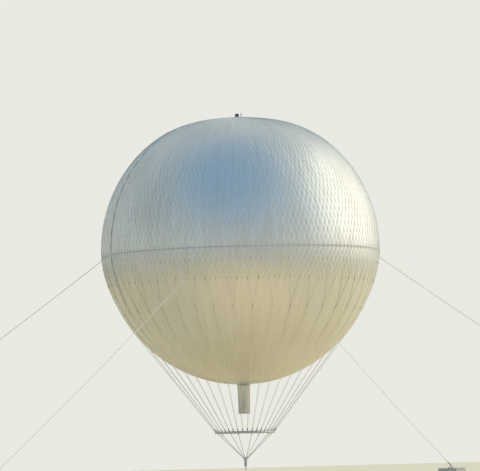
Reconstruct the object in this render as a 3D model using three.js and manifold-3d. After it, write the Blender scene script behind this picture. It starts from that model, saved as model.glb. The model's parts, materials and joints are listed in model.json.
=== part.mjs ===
// A moored spherical gas balloon: a coated fabric envelope under a rope net, held down by a load ring, a
// central tether and four mooring ropes that run out to concrete anchor blocks.
// Every size below is the real balloon's, in millimetres, with +Z up and the origin on the ground under the
// crown. The whole is about 70 m across its anchors, so the finished group is scaled down to a 1:2 model.
// An azimuth is measured about +Z from the front (-Y) towards the right (+X).

import * as THREE from "three";
import { mergeVertices } from "three/addons/utils/BufferGeometryUtils.js";
import Module from "manifold-3d";

const MODEL_SCALE = 0.5;
const CLEARANCE = 1; // between neighbours that touch, halved by the model's scale

// The four quarters that the envelope and the net are made in, with the azimuths of their middles
const QUARTERS = [
  ["front_right", 45],
  ["back_right", 135],
  ["back_left", -135],
  ["front_left", -45],
];

// Envelope
const BALL_RADIUS = 11000;
const BELT_HEIGHT = 18250;
const SHOULDER_SWELL = 0.035; // the ball is fuller above the belt and slimmer below it
const CROWN_FLATTENING = 0.055;
const LOWER_TAPER = 0.03;
const LOWER_TAPER_REACH = 0.3;
const WALL = 80;
const COLUMNS = 40; // facets round the ball, one to each suspension line
const UPPER_ROWS = 8;
const CROWN_LATITUDE = 84;
const LOWER_LATITUDES = [0, -12.75, -25.5, -36, -47, -58, -69, -80];
const NECK_LATITUDE = LOWER_LATITUDES.at(-1);

// Belt at the equator
const BELT_WIDTH = 150;
const BELT_THICKNESS = 12;

// Crown fittings
const CROWN_RING_RADIUS = 1095;
const CROWN_RING_TUBE = 35;
const VALVE_RADIUS = 160;
const VALVE_HEIGHT = 430;
const VALVE_CHAMFER = 40;
const VALVE_FLANGE_RADIUS = 420;
const VALVE_FLANGE_THICKNESS = 50;
const LIGHT_DISTANCE = 330;
const LIGHT_AZIMUTH = 76; // to the right of the valve as the balloon is looked at
const LIGHT_POST_RADIUS = 30;
const LIGHT_POST_HEIGHT = 330;
const LIGHT_HEAD_RADIUS = 45;
const LIGHT_HEAD_HEIGHT = 90;

// Neck and filling sleeve
const COLLAR_INNER_RADIUS = 450;
const COLLAR_OUTER_RADIUS = 500;
const COLLAR_DROP = 160;
const DISH_LATITUDE = -88; // where the ring's dish meets the collar
const SLEEVE_WALL = 30;
const SLEEVE_GAP = 4; // its square top stays this far below the ring's dish
const SLEEVE_LENGTH = 2300;
const SLEEVE_END_INNER_RADIUS = 430;

// Net over the upper half, and the crow's feet that gather it into suspension lines
const NET_COLUMNS = 20;
const ROPE_WIDTH = 56;
const ROPE_THICKNESS = 40;
const NET_EDGE_LATITUDE = 0.75; // the meshes stop this far above and below the middle of the belt
const NET_TOP_LATITUDE = 83.9;
const LINE_SPACING = 360 / COLUMNS;
const LEG_FOOT_LATITUDE = -12.75;
const LINE_HEAD_LATITUDE = -25.5;
const LINE_LEAVES_LATITUDE = -36;
const LINE_RADIUS = 18;
const LINE_OVERLAP = 60;

// Load ring, bridle, tether and the block that holds them down
const LOAD_RING_RADIUS = 2300;
const LOAD_RING_TUBE = 80;
const LOAD_RING_HEIGHT = 4200;
const BRIDLE_CABLES = 8;
const BRIDLE_CABLE_RADIUS = 20;
const BRIDLE_HEAD_GAP = 5; // its square end stands a little askew to the ring's flat
const COLLAR_HEIGHT = 180;
const COLLAR_RADIUS = 150;
const SWIVEL_TOP = 1950;
const SWIVEL_RADIUS = 130;
const SWIVEL_HEIGHT = 420;
const TETHER_RADIUS = 32;
const PEDESTAL_TOP = 1050;
const PEDESTAL_FOOT_RADIUS = 620;
const PEDESTAL_FOOT_THICKNESS = 50;
const PEDESTAL_HEAD_RADIUS = 110;
const CENTRE_BLOCK_RADIUS = 2300;
const CENTRE_BLOCK_HEIGHT = 650;

// Mooring ropes and their anchors. Each has the azimuth of its anchor, the latitude at which its rope meets
// the ball, close under the belt or lower down, and the gap that seats its faceted legs on the net's ropes.
const MOORINGS = [
  ["front_left", -45, -11, 2],
  ["left", -105, -1.6, 0.6],
  ["right", 75, -1.6, 0.6],
  ["back_right", 135, -11, 2],
];
const ANCHOR_DISTANCE = 35000;
const ANCHOR_SIDE = 1800;
const ANCHOR_HEIGHT = 900;
const LUG_PLATE_SIDE = 520;
const LUG_PLATE_THICKNESS = 40;
const LUG_WIDTH = 220;
const LUG_HEIGHT = 240;
const LUG_THICKNESS = 60;
const PIN_RADIUS = 28;
const PIN_PLAY = 2;
const PIN_SIDES = 16;
const FORK_RADIUS = 22;
const TENSIONER_LENGTH = 620;
const TENSIONER_RADIUS = 55;
const EYE_AZIMUTH = 9; // one suspension line round from the anchor's own azimuth
const MOORING_RADIUS = 30;
const MOORING_SAG = 450;
const BRIDLE_LEG_RADIUS = 24;
const BRIDLE_LEG_AZIMUTHS = [9, 18];
const BRIDLE_LEG_TOP_LATITUDE = -0.9;
const BRIDLE_LEG_TAIL = 0.1; // degrees by which a leg starts below the rope's end
const BRIDLE_LEG_STEPS = 4;

const radians = THREE.MathUtils.degToRad;
const TURN = 2 * Math.PI;
const TUBE_SIDES = 8;
const UP = new THREE.Vector3(0, 1, 0);

const materials = {
  fabric: new THREE.MeshStandardMaterial({ color: 0xc9c9c2, roughness: 0.38, metalness: 0.15 }),
  sleeve: new THREE.MeshStandardMaterial({ color: 0xb9b6aa, roughness: 0.6, metalness: 0.0 }),
  belt: new THREE.MeshStandardMaterial({ color: 0x5c5a52, roughness: 0.7, metalness: 0.0 }),
  net: new THREE.MeshStandardMaterial({ color: 0xa8a698, roughness: 0.8, metalness: 0.0 }),
  mooring: new THREE.MeshStandardMaterial({ color: 0xd8cfae, roughness: 0.8, metalness: 0.0 }),
  valve: new THREE.MeshStandardMaterial({ color: 0x33352f, roughness: 0.6, metalness: 0.2 }),
  light: new THREE.MeshStandardMaterial({ color: 0xdad8cf, roughness: 0.4, metalness: 0.3 }),
  alloy: new THREE.MeshStandardMaterial({ color: 0xa3a6a6, roughness: 0.45, metalness: 0.8 }),
  galvanised: new THREE.MeshStandardMaterial({ color: 0x8e9392, roughness: 0.5, metalness: 0.8 }),
  wire: new THREE.MeshStandardMaterial({ color: 0x74787a, roughness: 0.5, metalness: 0.8 }),
  concrete: new THREE.MeshStandardMaterial({ color: 0x9a978e, roughness: 0.95, metalness: 0.0 }),
};

const wasm = await Module();
wasm.setup();

// A closed geometry as a solid that can be joined and cut
function solidFrom(geometry) {
  const bare = geometry.clone();
  bare.deleteAttribute("normal");
  bare.deleteAttribute("uv");
  const merged = mergeVertices(bare, 1e-3);
  return new wasm.Manifold(
    new wasm.Mesh({
      numProp: 3,
      vertProperties: merged.getAttribute("position").array,
      triVerts: new Uint32Array(merged.index.array),
    }),
  );
}

// A solid back as a three.js geometry
function geometryFrom(solid) {
  const { vertProperties, triVerts } = solid.getMesh();
  const geometry = new THREE.BufferGeometry();
  geometry.setAttribute("position", new THREE.BufferAttribute(vertProperties, 3));
  geometry.setIndex(new THREE.BufferAttribute(triVerts, 1));
  geometry.computeVertexNormals();
  return geometry;
}

function joined(geometries) {
  return geometries.map(solidFrom).reduce((whole, piece) => whole.add(piece));
}

function named(name, geometry, material) {
  const mesh = new THREE.Mesh(geometry, material);
  mesh.name = name;
  return mesh;
}

// A turned piece about +Z from [radius, height] points
function turned(profile, segments = COLUMNS) {
  const points = profile.map(([radius, height]) => new THREE.Vector2(radius, height));
  return new THREE.LatheGeometry(points, segments).rotateX(Math.PI / 2);
}

// A ring whose section is a closed loop of [radius, height] points, anticlockwise
function turnedRing(section, segments = COLUMNS) {
  return turned([...section, section[0]], segments);
}

// From the middle of a ring's tube to one of the flats of its section
function flatDistance(tube) {
  return tube * Math.cos(TURN / TUBE_SIDES / 2);
}

// A round ring of tube, its section turned so that one flat faces the given slope
function tubeRing(radius, height, tube, slope = 0, segments = COLUMNS) {
  const section = [];
  for (let i = 0; i < TUBE_SIDES; i++) {
    const angle = slope + ((i + 0.5) * TURN) / TUBE_SIDES;
    section.push([radius + tube * Math.cos(angle), height + tube * Math.sin(angle)]);
  }
  return turnedRing(section, segments);
}

// A straight round bar between two points
function bar(from, to, radius, sides = 6) {
  const along = to.clone().sub(from);
  const geometry = new THREE.CylinderGeometry(radius, radius, along.length(), sides);
  const middle = from.clone().lerp(to, 0.5);
  geometry.applyQuaternion(new THREE.Quaternion().setFromUnitVectors(UP, along.clone().normalize()));
  return geometry.translate(middle.x, middle.y, middle.z);
}

// A round rope along a curve
function rope(curve, radius, steps, sides = 6) {
  const section = new THREE.Shape();
  for (let i = 0; i < sides; i++) {
    const angle = (i * TURN) / sides;
    section[i ? "lineTo" : "moveTo"](radius * Math.cos(angle), radius * Math.sin(angle));
  }
  return new THREE.ExtrudeGeometry(section, { steps, bevelEnabled: false, extrudePath: curve });
}

// An upright round post or drum
function drum(radius, bottom, top, sides = 16) {
  return new THREE.CylinderGeometry(radius, radius, top - bottom, sides)
    .rotateX(Math.PI / 2)
    .translate(0, 0, (top + bottom) / 2);
}

// Distance from the ball's centre to its skin: fuller at the shoulders, flattened at the crown and
// tapering below the belt
function skinRadius(latitude) {
  const rise = Math.sin(radians(latitude));
  const crown = rise > 0 ? CROWN_FLATTENING * rise ** 12 : 0;
  const taper = rise < 0 ? LOWER_TAPER * (1 - Math.exp(-((rise / LOWER_TAPER_REACH) ** 2))) : 0;
  return BALL_RADIUS * (1 + SHOULDER_SWELL * rise - crown - taper);
}

// [radius, height] on the ball's meridian, a little above the skin or, with a negative lift, inside it
function meridian(latitude, lift = 0) {
  const distance = skinRadius(latitude) + lift;
  return [distance * Math.cos(radians(latitude)), BELT_HEIGHT + distance * Math.sin(radians(latitude))];
}

function onSkin(azimuth, latitude, lift) {
  const [radius, height] = meridian(latitude, lift);
  return new THREE.Vector3(radius * Math.sin(radians(azimuth)), -radius * Math.cos(radians(azimuth)), height);
}

// The part of a solid that lies in one quarter of the plan, short of the quarter's two sides
function quarterOf(solid, middleAzimuth) {
  const reach = 2 * BALL_RADIUS;
  const block = new THREE.BoxGeometry(reach, reach, 2 * reach)
    .translate((reach + CLEARANCE) / 2, -(reach + CLEARANCE) / 2, BELT_HEIGHT)
    .rotateZ(radians(middleAzimuth - 45));
  return solid.intersect(solidFrom(block));
}

// Envelope: coated fabric sewn into an upper and a lower half, each in four panels. The belt covers the
// seam between the halves.
const clearanceAngle = THREE.MathUtils.radToDeg(CLEARANCE / BALL_RADIUS);

function shell(outerLatitudes) {
  const innerLatitudes = outerLatitudes.filter((_, i) => i % 2 === 0 || i === outerLatitudes.length - 1);
  const outer = outerLatitudes.map((latitude) => meridian(latitude));
  const inner = innerLatitudes.reverse().map((latitude) => meridian(latitude, -WALL));
  return solidFrom(turnedRing([...outer, ...inner]));
}

function upperShell() {
  const latitudes = [];
  for (let row = 0; row <= UPPER_ROWS; row++) latitudes.push((CROWN_LATITUDE * row) / UPPER_ROWS);
  latitudes[0] += clearanceAngle / 2;
  return shell(latitudes);
}

function lowerShell() {
  const latitudes = [...LOWER_LATITUDES].reverse();
  latitudes[latitudes.length - 1] -= clearanceAngle / 2;
  return shell(latitudes);
}

function envelope() {
  const group = new THREE.Group();
  for (const [half, solid] of [
    ["upper", upperShell()],
    ["lower", lowerShell()],
  ]) {
    for (const [side, azimuth] of QUARTERS) {
      const panel = geometryFrom(quarterOf(solid, azimuth));
      group.add(named(`envelope_${half}_${side}`, panel, materials.fabric));
    }
  }
  return group;
}

function belt() {
  const inner = BALL_RADIUS + CLEARANCE;
  const outer = inner + BELT_THICKNESS;
  const bottom = BELT_HEIGHT - BELT_WIDTH / 2;
  const top = BELT_HEIGHT + BELT_WIDTH / 2;
  const band = turnedRing([
    [inner, bottom],
    [outer, bottom],
    [outer, top],
    [inner, top],
  ]);
  return named("equator_belt", band, materials.belt);
}

// Crown: a round fabric panel with the net's crown ring, the gas valve and a marker light
function crownPanel() {
  const rim = CROWN_LATITUDE + clearanceAngle;
  const panel = turned([
    [0, meridian(90, -WALL)[1]],
    meridian(rim, -WALL),
    meridian(rim),
    [0, meridian(90)[1]],
  ]);
  return named("crown_panel", panel, materials.fabric);
}

// Height of the flat-sided crown panel at a distance from the axis
function crownHeight(distance) {
  const [rimRadius, rimHeight] = meridian(CROWN_LATITUDE + clearanceAngle);
  return THREE.MathUtils.lerp(meridian(90)[1], rimHeight, distance / rimRadius);
}

function crown() {
  const group = new THREE.Group();
  group.add(crownPanel());

  const ringSeat = crownHeight(CROWN_RING_RADIUS - CROWN_RING_TUBE / 2) + CLEARANCE;
  const ringHeight = ringSeat + flatDistance(CROWN_RING_TUBE);
  const ring = tubeRing(CROWN_RING_RADIUS, ringHeight, CROWN_RING_TUBE, 0, COLUMNS / 2);
  group.add(named("net_crown_ring", ring, materials.alloy));

  const seat = meridian(90)[1] + CLEARANCE;
  const shoulder = seat + VALVE_FLANGE_THICKNESS;
  const cap = seat + VALVE_HEIGHT;
  const valve = turned(
    [
      [0, seat],
      [VALVE_FLANGE_RADIUS, seat],
      [VALVE_FLANGE_RADIUS, shoulder],
      [VALVE_RADIUS, shoulder],
      [VALVE_RADIUS, cap - VALVE_CHAMFER],
      [VALVE_RADIUS - VALVE_CHAMFER, cap],
      [0, cap],
    ],
    24,
  );
  group.add(named("crown_gas_valve", valve, materials.valve));

  const foot = shoulder + CLEARANCE;
  const neck = foot + LIGHT_POST_HEIGHT;
  const light = turned(
    [
      [0, foot],
      [LIGHT_POST_RADIUS, foot],
      [LIGHT_POST_RADIUS, neck],
      [LIGHT_HEAD_RADIUS, neck],
      [LIGHT_HEAD_RADIUS, neck + LIGHT_HEAD_HEIGHT],
      [0, neck + LIGHT_HEAD_HEIGHT],
    ],
    12,
  );
  const lamp = named("crown_marker_light", light, materials.light);
  lamp.position.x = LIGHT_DISTANCE * Math.sin(radians(LIGHT_AZIMUTH));
  lamp.position.y = -LIGHT_DISTANCE * Math.cos(radians(LIGHT_AZIMUTH));
  group.add(lamp);
  return group;
}

// Neck: a stiff ring closes the bottom of the envelope and carries the open filling sleeve
function neck() {
  const group = new THREE.Group();
  const rim = NECK_LATITUDE - clearanceAngle;
  const [, dishHeight] = meridian(DISH_LATITUDE);
  const collarEnd = dishHeight - COLLAR_DROP;
  const ring = turnedRing([
    [COLLAR_INNER_RADIUS, dishHeight + WALL],
    [COLLAR_INNER_RADIUS, collarEnd],
    [COLLAR_OUTER_RADIUS, collarEnd],
    [COLLAR_OUTER_RADIUS, dishHeight],
    meridian(rim),
    meridian(rim, -WALL),
  ]);
  group.add(named("neck_ring", ring, materials.alloy));

  const sleeveInner = COLLAR_OUTER_RADIUS + CLEARANCE;
  const sleeveTop = dishHeight - SLEEVE_GAP;
  const sleeveEnd = sleeveTop - SLEEVE_LENGTH;
  const sleeve = turnedRing([
    [sleeveInner, sleeveTop],
    [sleeveInner, collarEnd],
    [SLEEVE_END_INNER_RADIUS, sleeveEnd],
    [SLEEVE_END_INNER_RADIUS + SLEEVE_WALL, sleeveEnd],
    [sleeveInner + SLEEVE_WALL, collarEnd],
    [sleeveInner + SLEEVE_WALL, sleeveTop],
  ]);
  group.add(named("filling_sleeve", sleeve, materials.sleeve));
  return group;
}

// Net: the ropes are laid out flat, with azimuth along x and latitude along y, joined there, and then
// wrapped on the ball. A rope keeps its width as the meridians close in towards the crown.
const DEGREE = radians(1) * BALL_RADIUS;

function flatRope([fromAzimuth, fromLatitude], [toAzimuth, toLatitude]) {
  const fromHalf = ROPE_WIDTH / 2 / Math.cos(radians(fromLatitude));
  const toHalf = ROPE_WIDTH / 2 / Math.cos(radians(toLatitude));
  const outline = new THREE.Shape([
    new THREE.Vector2(fromAzimuth * DEGREE - fromHalf, fromLatitude * DEGREE),
    new THREE.Vector2(fromAzimuth * DEGREE + fromHalf, fromLatitude * DEGREE),
    new THREE.Vector2(toAzimuth * DEGREE + toHalf, toLatitude * DEGREE),
    new THREE.Vector2(toAzimuth * DEGREE - toHalf, toLatitude * DEGREE),
  ]);
  return new THREE.ExtrudeGeometry(outline, { depth: ROPE_THICKNESS, bevelEnabled: false });
}

// The flat ropes between two azimuths, trimmed clear of the neighbouring panels of net
function trimmed(solid, fromAzimuth, toAzimuth) {
  const left = fromAzimuth * DEGREE + CLEARANCE;
  const right = toAzimuth * DEGREE - CLEARANCE;
  const height = 2 * TURN * BALL_RADIUS;
  const block = new THREE.BoxGeometry(right - left, height, 4 * ROPE_THICKNESS);
  return solid.intersect(solidFrom(block.translate((left + right) / 2, 0, 0)));
}

function wrapped(geometry) {
  const position = geometry.getAttribute("position");
  for (let i = 0; i < position.count; i++) {
    const azimuth = position.getX(i) / DEGREE;
    const latitude = position.getY(i) / DEGREE;
    const point = onSkin(azimuth, latitude, CLEARANCE + position.getZ(i));
    position.setXYZ(i, point.x, point.y, point.z);
  }
  return geometry;
}

// A quarter of the diamond net, from the belt up to the crown ring
function netPanel(name, middleAzimuth) {
  const start = middleAzimuth - 45;
  const half = 360 / NET_COLUMNS / 2;
  const rowHeight = CROWN_LATITUDE / UPPER_ROWS;
  const ropes = [];
  for (let row = 0; row < UPPER_ROWS; row++) {
    const bottom = row === 0 ? NET_EDGE_LATITUDE : row * rowHeight;
    const top = row === UPPER_ROWS - 1 ? NET_TOP_LATITUDE : (row + 1) * rowHeight;
    const shift = row % 2 ? half : 0;
    for (let azimuth = -shift; azimuth < 90 + half; azimuth += 2 * half) {
      for (const side of [-half, half]) {
        ropes.push(flatRope([start + azimuth, bottom], [start + azimuth + side, top]));
      }
    }
  }
  const panel = trimmed(joined(ropes), start, start + 90);
  return named(name, wrapped(geometryFrom(panel)), materials.net);
}

// A quarter of the suspension net: a zigzag of legs under the belt gathers two by two into crow's feet,
// and each crow's foot into one line that leaves the ball at a tangent and runs straight to the load ring
function suspensionPanel(name, middleAzimuth) {
  const start = middleAzimuth - 45 - LINE_SPACING / 2;
  const lines = 90 / LINE_SPACING;
  const spread = LINE_SPACING / 4;
  const ropes = [];
  const tails = [];
  for (let i = 0; i < lines; i++) {
    const azimuth = start + (i + 0.5) * LINE_SPACING;
    for (const foot of [azimuth - spread, azimuth + spread]) {
      ropes.push(flatRope([azimuth, LINE_HEAD_LATITUDE], [foot, LEG_FOOT_LATITUDE]));
      for (const side of [-spread, spread]) {
        ropes.push(flatRope([foot, LEG_FOOT_LATITUDE], [foot + side, -NET_EDGE_LATITUDE]));
      }
    }
    ropes.push(flatRope([azimuth, LINE_LEAVES_LATITUDE], [azimuth, LINE_HEAD_LATITUDE]));
    tails.push(suspensionTail(azimuth));
  }
  const feet = wrapped(geometryFrom(trimmed(joined(ropes), start, start + 90)));
  return named(name, geometryFrom(joined([feet, ...tails])), materials.net);
}

// Slope of the suspension lines below the horizontal, from where they leave the ball to the load ring
const lineCentreLift = CLEARANCE + ROPE_THICKNESS / 2;
const [leaveRadius, leaveHeight] = meridian(LINE_LEAVES_LATITUDE, lineCentreLift);
const lineSlope = Math.atan2(leaveHeight - LOAD_RING_HEIGHT, leaveRadius - LOAD_RING_RADIUS);

function suspensionTail(azimuth) {
  const outward = new THREE.Vector3(Math.sin(radians(azimuth)), -Math.cos(radians(azimuth)), 0);
  const upward = outward.clone().multiplyScalar(Math.cos(lineSlope));
  upward.z = Math.sin(lineSlope);
  const ring = outward.clone().multiplyScalar(LOAD_RING_RADIUS);
  ring.z = LOAD_RING_HEIGHT;
  const low = ring.clone().addScaledVector(upward, flatDistance(LOAD_RING_TUBE) + CLEARANCE);
  const high = onSkin(azimuth, LINE_LEAVES_LATITUDE, lineCentreLift).addScaledVector(upward, LINE_OVERLAP);
  return bar(low, high, LINE_RADIUS, 5);
}

function net() {
  const group = new THREE.Group();
  for (const [side, azimuth] of QUARTERS) {
    group.add(netPanel(`net_${side}`, azimuth));
    group.add(suspensionPanel(`suspension_lines_${side}`, azimuth));
  }
  return group;
}

// Load ring of steel tube, and the wire bridle that gathers its pull into the swivel and the tether
function loadRing() {
  const ring = tubeRing(LOAD_RING_RADIUS, LOAD_RING_HEIGHT, LOAD_RING_TUBE, lineSlope);
  return named("load_ring", ring, materials.galvanised);
}

function bridle() {
  const collarBottom = SWIVEL_TOP + CLEARANCE;
  const collarTop = collarBottom + COLLAR_HEIGHT;
  const pieces = [drum(COLLAR_RADIUS, collarBottom, collarTop)];
  for (let i = 0; i < BRIDLE_CABLES; i++) {
    const azimuth = (i * TURN) / BRIDLE_CABLES;
    const outward = new THREE.Vector3(Math.sin(azimuth), -Math.cos(azimuth), 0);
    const ring = outward.clone().multiplyScalar(LOAD_RING_RADIUS);
    ring.z = LOAD_RING_HEIGHT;
    const root = outward.clone().multiplyScalar(COLLAR_RADIUS - 2 * BRIDLE_CABLE_RADIUS);
    root.z = collarTop - 2 * BRIDLE_CABLE_RADIUS;
    const downward = root.clone().sub(ring).normalize();
    const head = ring.clone().addScaledVector(downward, flatDistance(LOAD_RING_TUBE) + BRIDLE_HEAD_GAP);
    pieces.push(bar(root, head, BRIDLE_CABLE_RADIUS));
  }
  return named("bridle_cables", geometryFrom(joined(pieces)), materials.wire);
}

function tether() {
  const group = new THREE.Group();
  group.add(loadRing());
  group.add(bridle());

  const swivelBottom = SWIVEL_TOP - SWIVEL_HEIGHT;
  group.add(named("tether_swivel", drum(SWIVEL_RADIUS, swivelBottom, SWIVEL_TOP), materials.galvanised));

  const cable = drum(TETHER_RADIUS, PEDESTAL_TOP + CLEARANCE, swivelBottom - CLEARANCE, 10);
  group.add(named("tether_cable", cable, materials.wire));

  const foot = CENTRE_BLOCK_HEIGHT + CLEARANCE;
  const pedestal = turned(
    [
      [0, foot],
      [PEDESTAL_FOOT_RADIUS, foot],
      [PEDESTAL_FOOT_RADIUS, foot + PEDESTAL_FOOT_THICKNESS],
      [2 * PEDESTAL_HEAD_RADIUS, foot + PEDESTAL_FOOT_THICKNESS],
      [PEDESTAL_HEAD_RADIUS, PEDESTAL_TOP],
      [0, PEDESTAL_TOP],
    ],
    24,
  );
  group.add(named("tether_pedestal", pedestal, materials.galvanised));

  const block = drum(CENTRE_BLOCK_RADIUS, 0, CENTRE_BLOCK_HEIGHT, 8).rotateZ(TURN / 16);
  group.add(named("centre_anchor_block", block, materials.concrete));
  return group;
}

// One mooring, built with its anchor straight in front (-Y) and then turned to its own azimuth: a concrete
// block, the lug bolted on it, a tensioner, and the rope, which ends in two legs spliced into the net
function mooring(side, azimuth, eyeLatitude, legGap) {
  const group = new THREE.Group();
  group.rotation.z = radians(azimuth);

  const block = new THREE.BoxGeometry(ANCHOR_SIDE, ANCHOR_SIDE, ANCHOR_HEIGHT);
  block.translate(0, -ANCHOR_DISTANCE, ANCHOR_HEIGHT / 2);
  group.add(named(`anchor_block_${side}`, block, materials.concrete));

  const legLift = ROPE_THICKNESS + BRIDLE_LEG_RADIUS + legGap;
  const eye = onSkin(EYE_AZIMUTH, eyeLatitude, legLift);
  const plateTop = ANCHOR_HEIGHT + CLEARANCE + LUG_PLATE_THICKNESS;
  const pinHeight = plateTop + LUG_HEIGHT - LUG_WIDTH / 2;
  const pin = new THREE.Vector3(0, -ANCHOR_DISTANCE, pinHeight);
  const upward = eye.clone().sub(pin);
  upward.z -= 2 * MOORING_SAG;
  upward.normalize();

  const heading = Math.atan2(-upward.x, upward.y);
  const plate = new THREE.BoxGeometry(LUG_PLATE_SIDE, LUG_PLATE_SIDE, LUG_PLATE_THICKNESS);
  plate.translate(0, 0, ANCHOR_HEIGHT + CLEARANCE + LUG_PLATE_THICKNESS / 2);
  const cheek = new THREE.Shape();
  cheek.moveTo(-LUG_WIDTH / 2, -LUG_PLATE_THICKNESS / 2);
  cheek.lineTo(LUG_WIDTH / 2, -LUG_PLATE_THICKNESS / 2);
  cheek.absarc(0, LUG_HEIGHT - LUG_WIDTH / 2, LUG_WIDTH / 2, 0, Math.PI, false);
  const pinHole = new THREE.Path();
  pinHole.absarc(0, LUG_HEIGHT - LUG_WIDTH / 2, PIN_RADIUS + PIN_PLAY, 0, TURN, true);
  cheek.holes.push(pinHole);
  const webOptions = { depth: LUG_THICKNESS, bevelEnabled: false, curveSegments: PIN_SIDES / 2 };
  const web = new THREE.ExtrudeGeometry(cheek, webOptions);
  web.translate(0, 0, -LUG_THICKNESS / 2);
  web.rotateX(Math.PI / 2);
  web.rotateZ(Math.PI / 2);
  web.translate(0, 0, plateTop);
  const lug = geometryFrom(joined([plate, web]));
  lug.rotateZ(heading);
  lug.translate(0, -ANCHOR_DISTANCE, 0);
  group.add(named(`anchor_lug_${side}`, lug, materials.galvanised));

  const bodyStart = pin.clone().addScaledVector(upward, LUG_WIDTH / 2 + TENSIONER_RADIUS);
  const bodyEnd = bodyStart.clone().addScaledVector(upward, TENSIONER_LENGTH);
  const sideways = new THREE.Vector3(Math.cos(heading), Math.sin(heading), 0);
  const pieces = [bar(bodyStart, bodyEnd, TENSIONER_RADIUS, 8)];
  const forkOffset = LUG_THICKNESS / 2 + CLEARANCE + FORK_RADIUS;
  const pinReach = forkOffset + 2 * FORK_RADIUS;
  const pinEnds = [-pinReach, pinReach].map((reach) => pin.clone().addScaledVector(sideways, reach));
  pieces.push(bar(...pinEnds, PIN_RADIUS, PIN_SIDES));
  for (const offset of [-forkOffset, forkOffset]) {
    const forkFoot = pin.clone().addScaledVector(sideways, offset).addScaledVector(upward, -PIN_RADIUS);
    const forkRoot = bodyStart.clone().addScaledVector(sideways, offset).addScaledVector(upward, 2 * FORK_RADIUS);
    pieces.push(bar(forkFoot, forkRoot, FORK_RADIUS));
  }
  group.add(named(`rope_tensioner_${side}`, geometryFrom(joined(pieces)), materials.galvanised));

  const ropeStart = bodyEnd.clone().addScaledVector(upward, CLEARANCE);
  const sagPoint = ropeStart.clone().lerp(eye, 0.5);
  sagPoint.z -= MOORING_SAG;
  const line = rope(new THREE.QuadraticBezierCurve3(ropeStart, sagPoint, eye), MOORING_RADIUS, 10);
  const legs = BRIDLE_LEG_AZIMUTHS.map((legAzimuth) => {
    const points = [];
    for (let i = 0; i <= BRIDLE_LEG_STEPS; i++) {
      const share = i / BRIDLE_LEG_STEPS;
      const legPosition = THREE.MathUtils.lerp(EYE_AZIMUTH, legAzimuth, share);
      const latitude = THREE.MathUtils.lerp(eyeLatitude - BRIDLE_LEG_TAIL, BRIDLE_LEG_TOP_LATITUDE, share);
      points.push(onSkin(legPosition, latitude, legLift));
    }
    return rope(new THREE.CatmullRomCurve3(points), BRIDLE_LEG_RADIUS, 8);
  });
  const whole = geometryFrom(joined([line, ...legs]));
  group.add(named(`mooring_rope_${side}`, whole, materials.mooring));
  return group;
}

const balloon = new THREE.Group();
balloon.add(envelope());
balloon.add(belt());
balloon.add(crown());
balloon.add(neck());
balloon.add(net());
balloon.add(tether());
for (const row of MOORINGS) balloon.add(mooring(...row));
balloon.scale.setScalar(MODEL_SCALE);

export default balloon;
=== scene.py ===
import json
import math

import bmesh
import bpy
from mathutils import Matrix, Quaternion, Vector


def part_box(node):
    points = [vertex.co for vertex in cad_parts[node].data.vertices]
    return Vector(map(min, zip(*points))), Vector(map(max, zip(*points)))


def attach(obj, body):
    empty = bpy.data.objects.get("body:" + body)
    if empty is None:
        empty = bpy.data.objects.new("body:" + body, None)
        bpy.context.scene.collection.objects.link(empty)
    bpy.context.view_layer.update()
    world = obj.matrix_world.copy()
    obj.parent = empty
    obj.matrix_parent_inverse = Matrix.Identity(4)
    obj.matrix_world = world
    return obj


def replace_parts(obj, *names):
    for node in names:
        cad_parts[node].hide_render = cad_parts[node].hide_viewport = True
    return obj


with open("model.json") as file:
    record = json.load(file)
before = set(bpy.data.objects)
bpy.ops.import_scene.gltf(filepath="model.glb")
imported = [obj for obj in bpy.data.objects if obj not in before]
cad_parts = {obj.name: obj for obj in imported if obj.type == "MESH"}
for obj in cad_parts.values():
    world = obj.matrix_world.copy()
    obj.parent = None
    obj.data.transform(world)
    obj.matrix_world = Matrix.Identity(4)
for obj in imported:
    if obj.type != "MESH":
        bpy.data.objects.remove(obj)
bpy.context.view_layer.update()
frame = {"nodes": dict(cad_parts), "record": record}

# Camera
# It stands at eye height, far off and a little to the left of the balloon's front, and looks up at it
# through a long lens. It is held a degree and a half off level.
SCALE = frame["record"]["size"]["model_scale_k"]
belt_low, belt_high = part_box("equator_belt")
BELT_HEIGHT = (belt_low.z + belt_high.z) / 2
CAMERA_AZIMUTH = -14
CAMERA_DISTANCE = 270 * SCALE
EYE_HEIGHT = 1.6 * SCALE
LENS = 256.3
BELT_BELOW_AXIS = 0.3186  # degrees from the middle of the picture down to the middle of the belt
ROLL = 1.47


def compass(azimuth, distance=1.0, height=0.0):
    """A point at an azimuth, in degrees, from the front (-Y) towards the right (+X)."""
    turn = math.radians(azimuth)
    return Vector((distance * math.sin(turn), -distance * math.cos(turn), height))


def placed(name, data):
    made = bpy.data.objects.new(name, data)
    bpy.context.scene.collection.objects.link(made)
    return made


camera = placed("camera", bpy.data.cameras.new("camera"))
bpy.context.scene.camera = camera
camera.data.lens = LENS
camera.data.clip_start = 1
camera.data.clip_end = 2000
camera.location = compass(CAMERA_AZIMUTH, CAMERA_DISTANCE, EYE_HEIGHT)
rise = math.atan2(BELT_HEIGHT - EYE_HEIGHT, CAMERA_DISTANCE) + math.radians(BELT_BELOW_AXIS)
ahead = compass(CAMERA_AZIMUTH, -math.cos(rise), math.sin(rise))
camera.rotation_mode = "QUATERNION"
camera.rotation_quaternion = Quaternion(ahead, math.radians(ROLL)) @ ahead.to_track_quat("-Z", "Y")

# Stage
# A pale sand-coloured floor under a dome of soft light, which is blue high behind the camera and bright
# behind the balloon. A very broad warm light stands on the right, and a weak one lies on the floor in front.
FLOOR_REACH = 900
FLOOR_HEIGHT = -0.002


def towards(azimuth, elevation):
    """A direction, with both angles in degrees."""
    climb = math.radians(elevation)
    return compass(azimuth, math.cos(climb), math.sin(climb))


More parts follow.
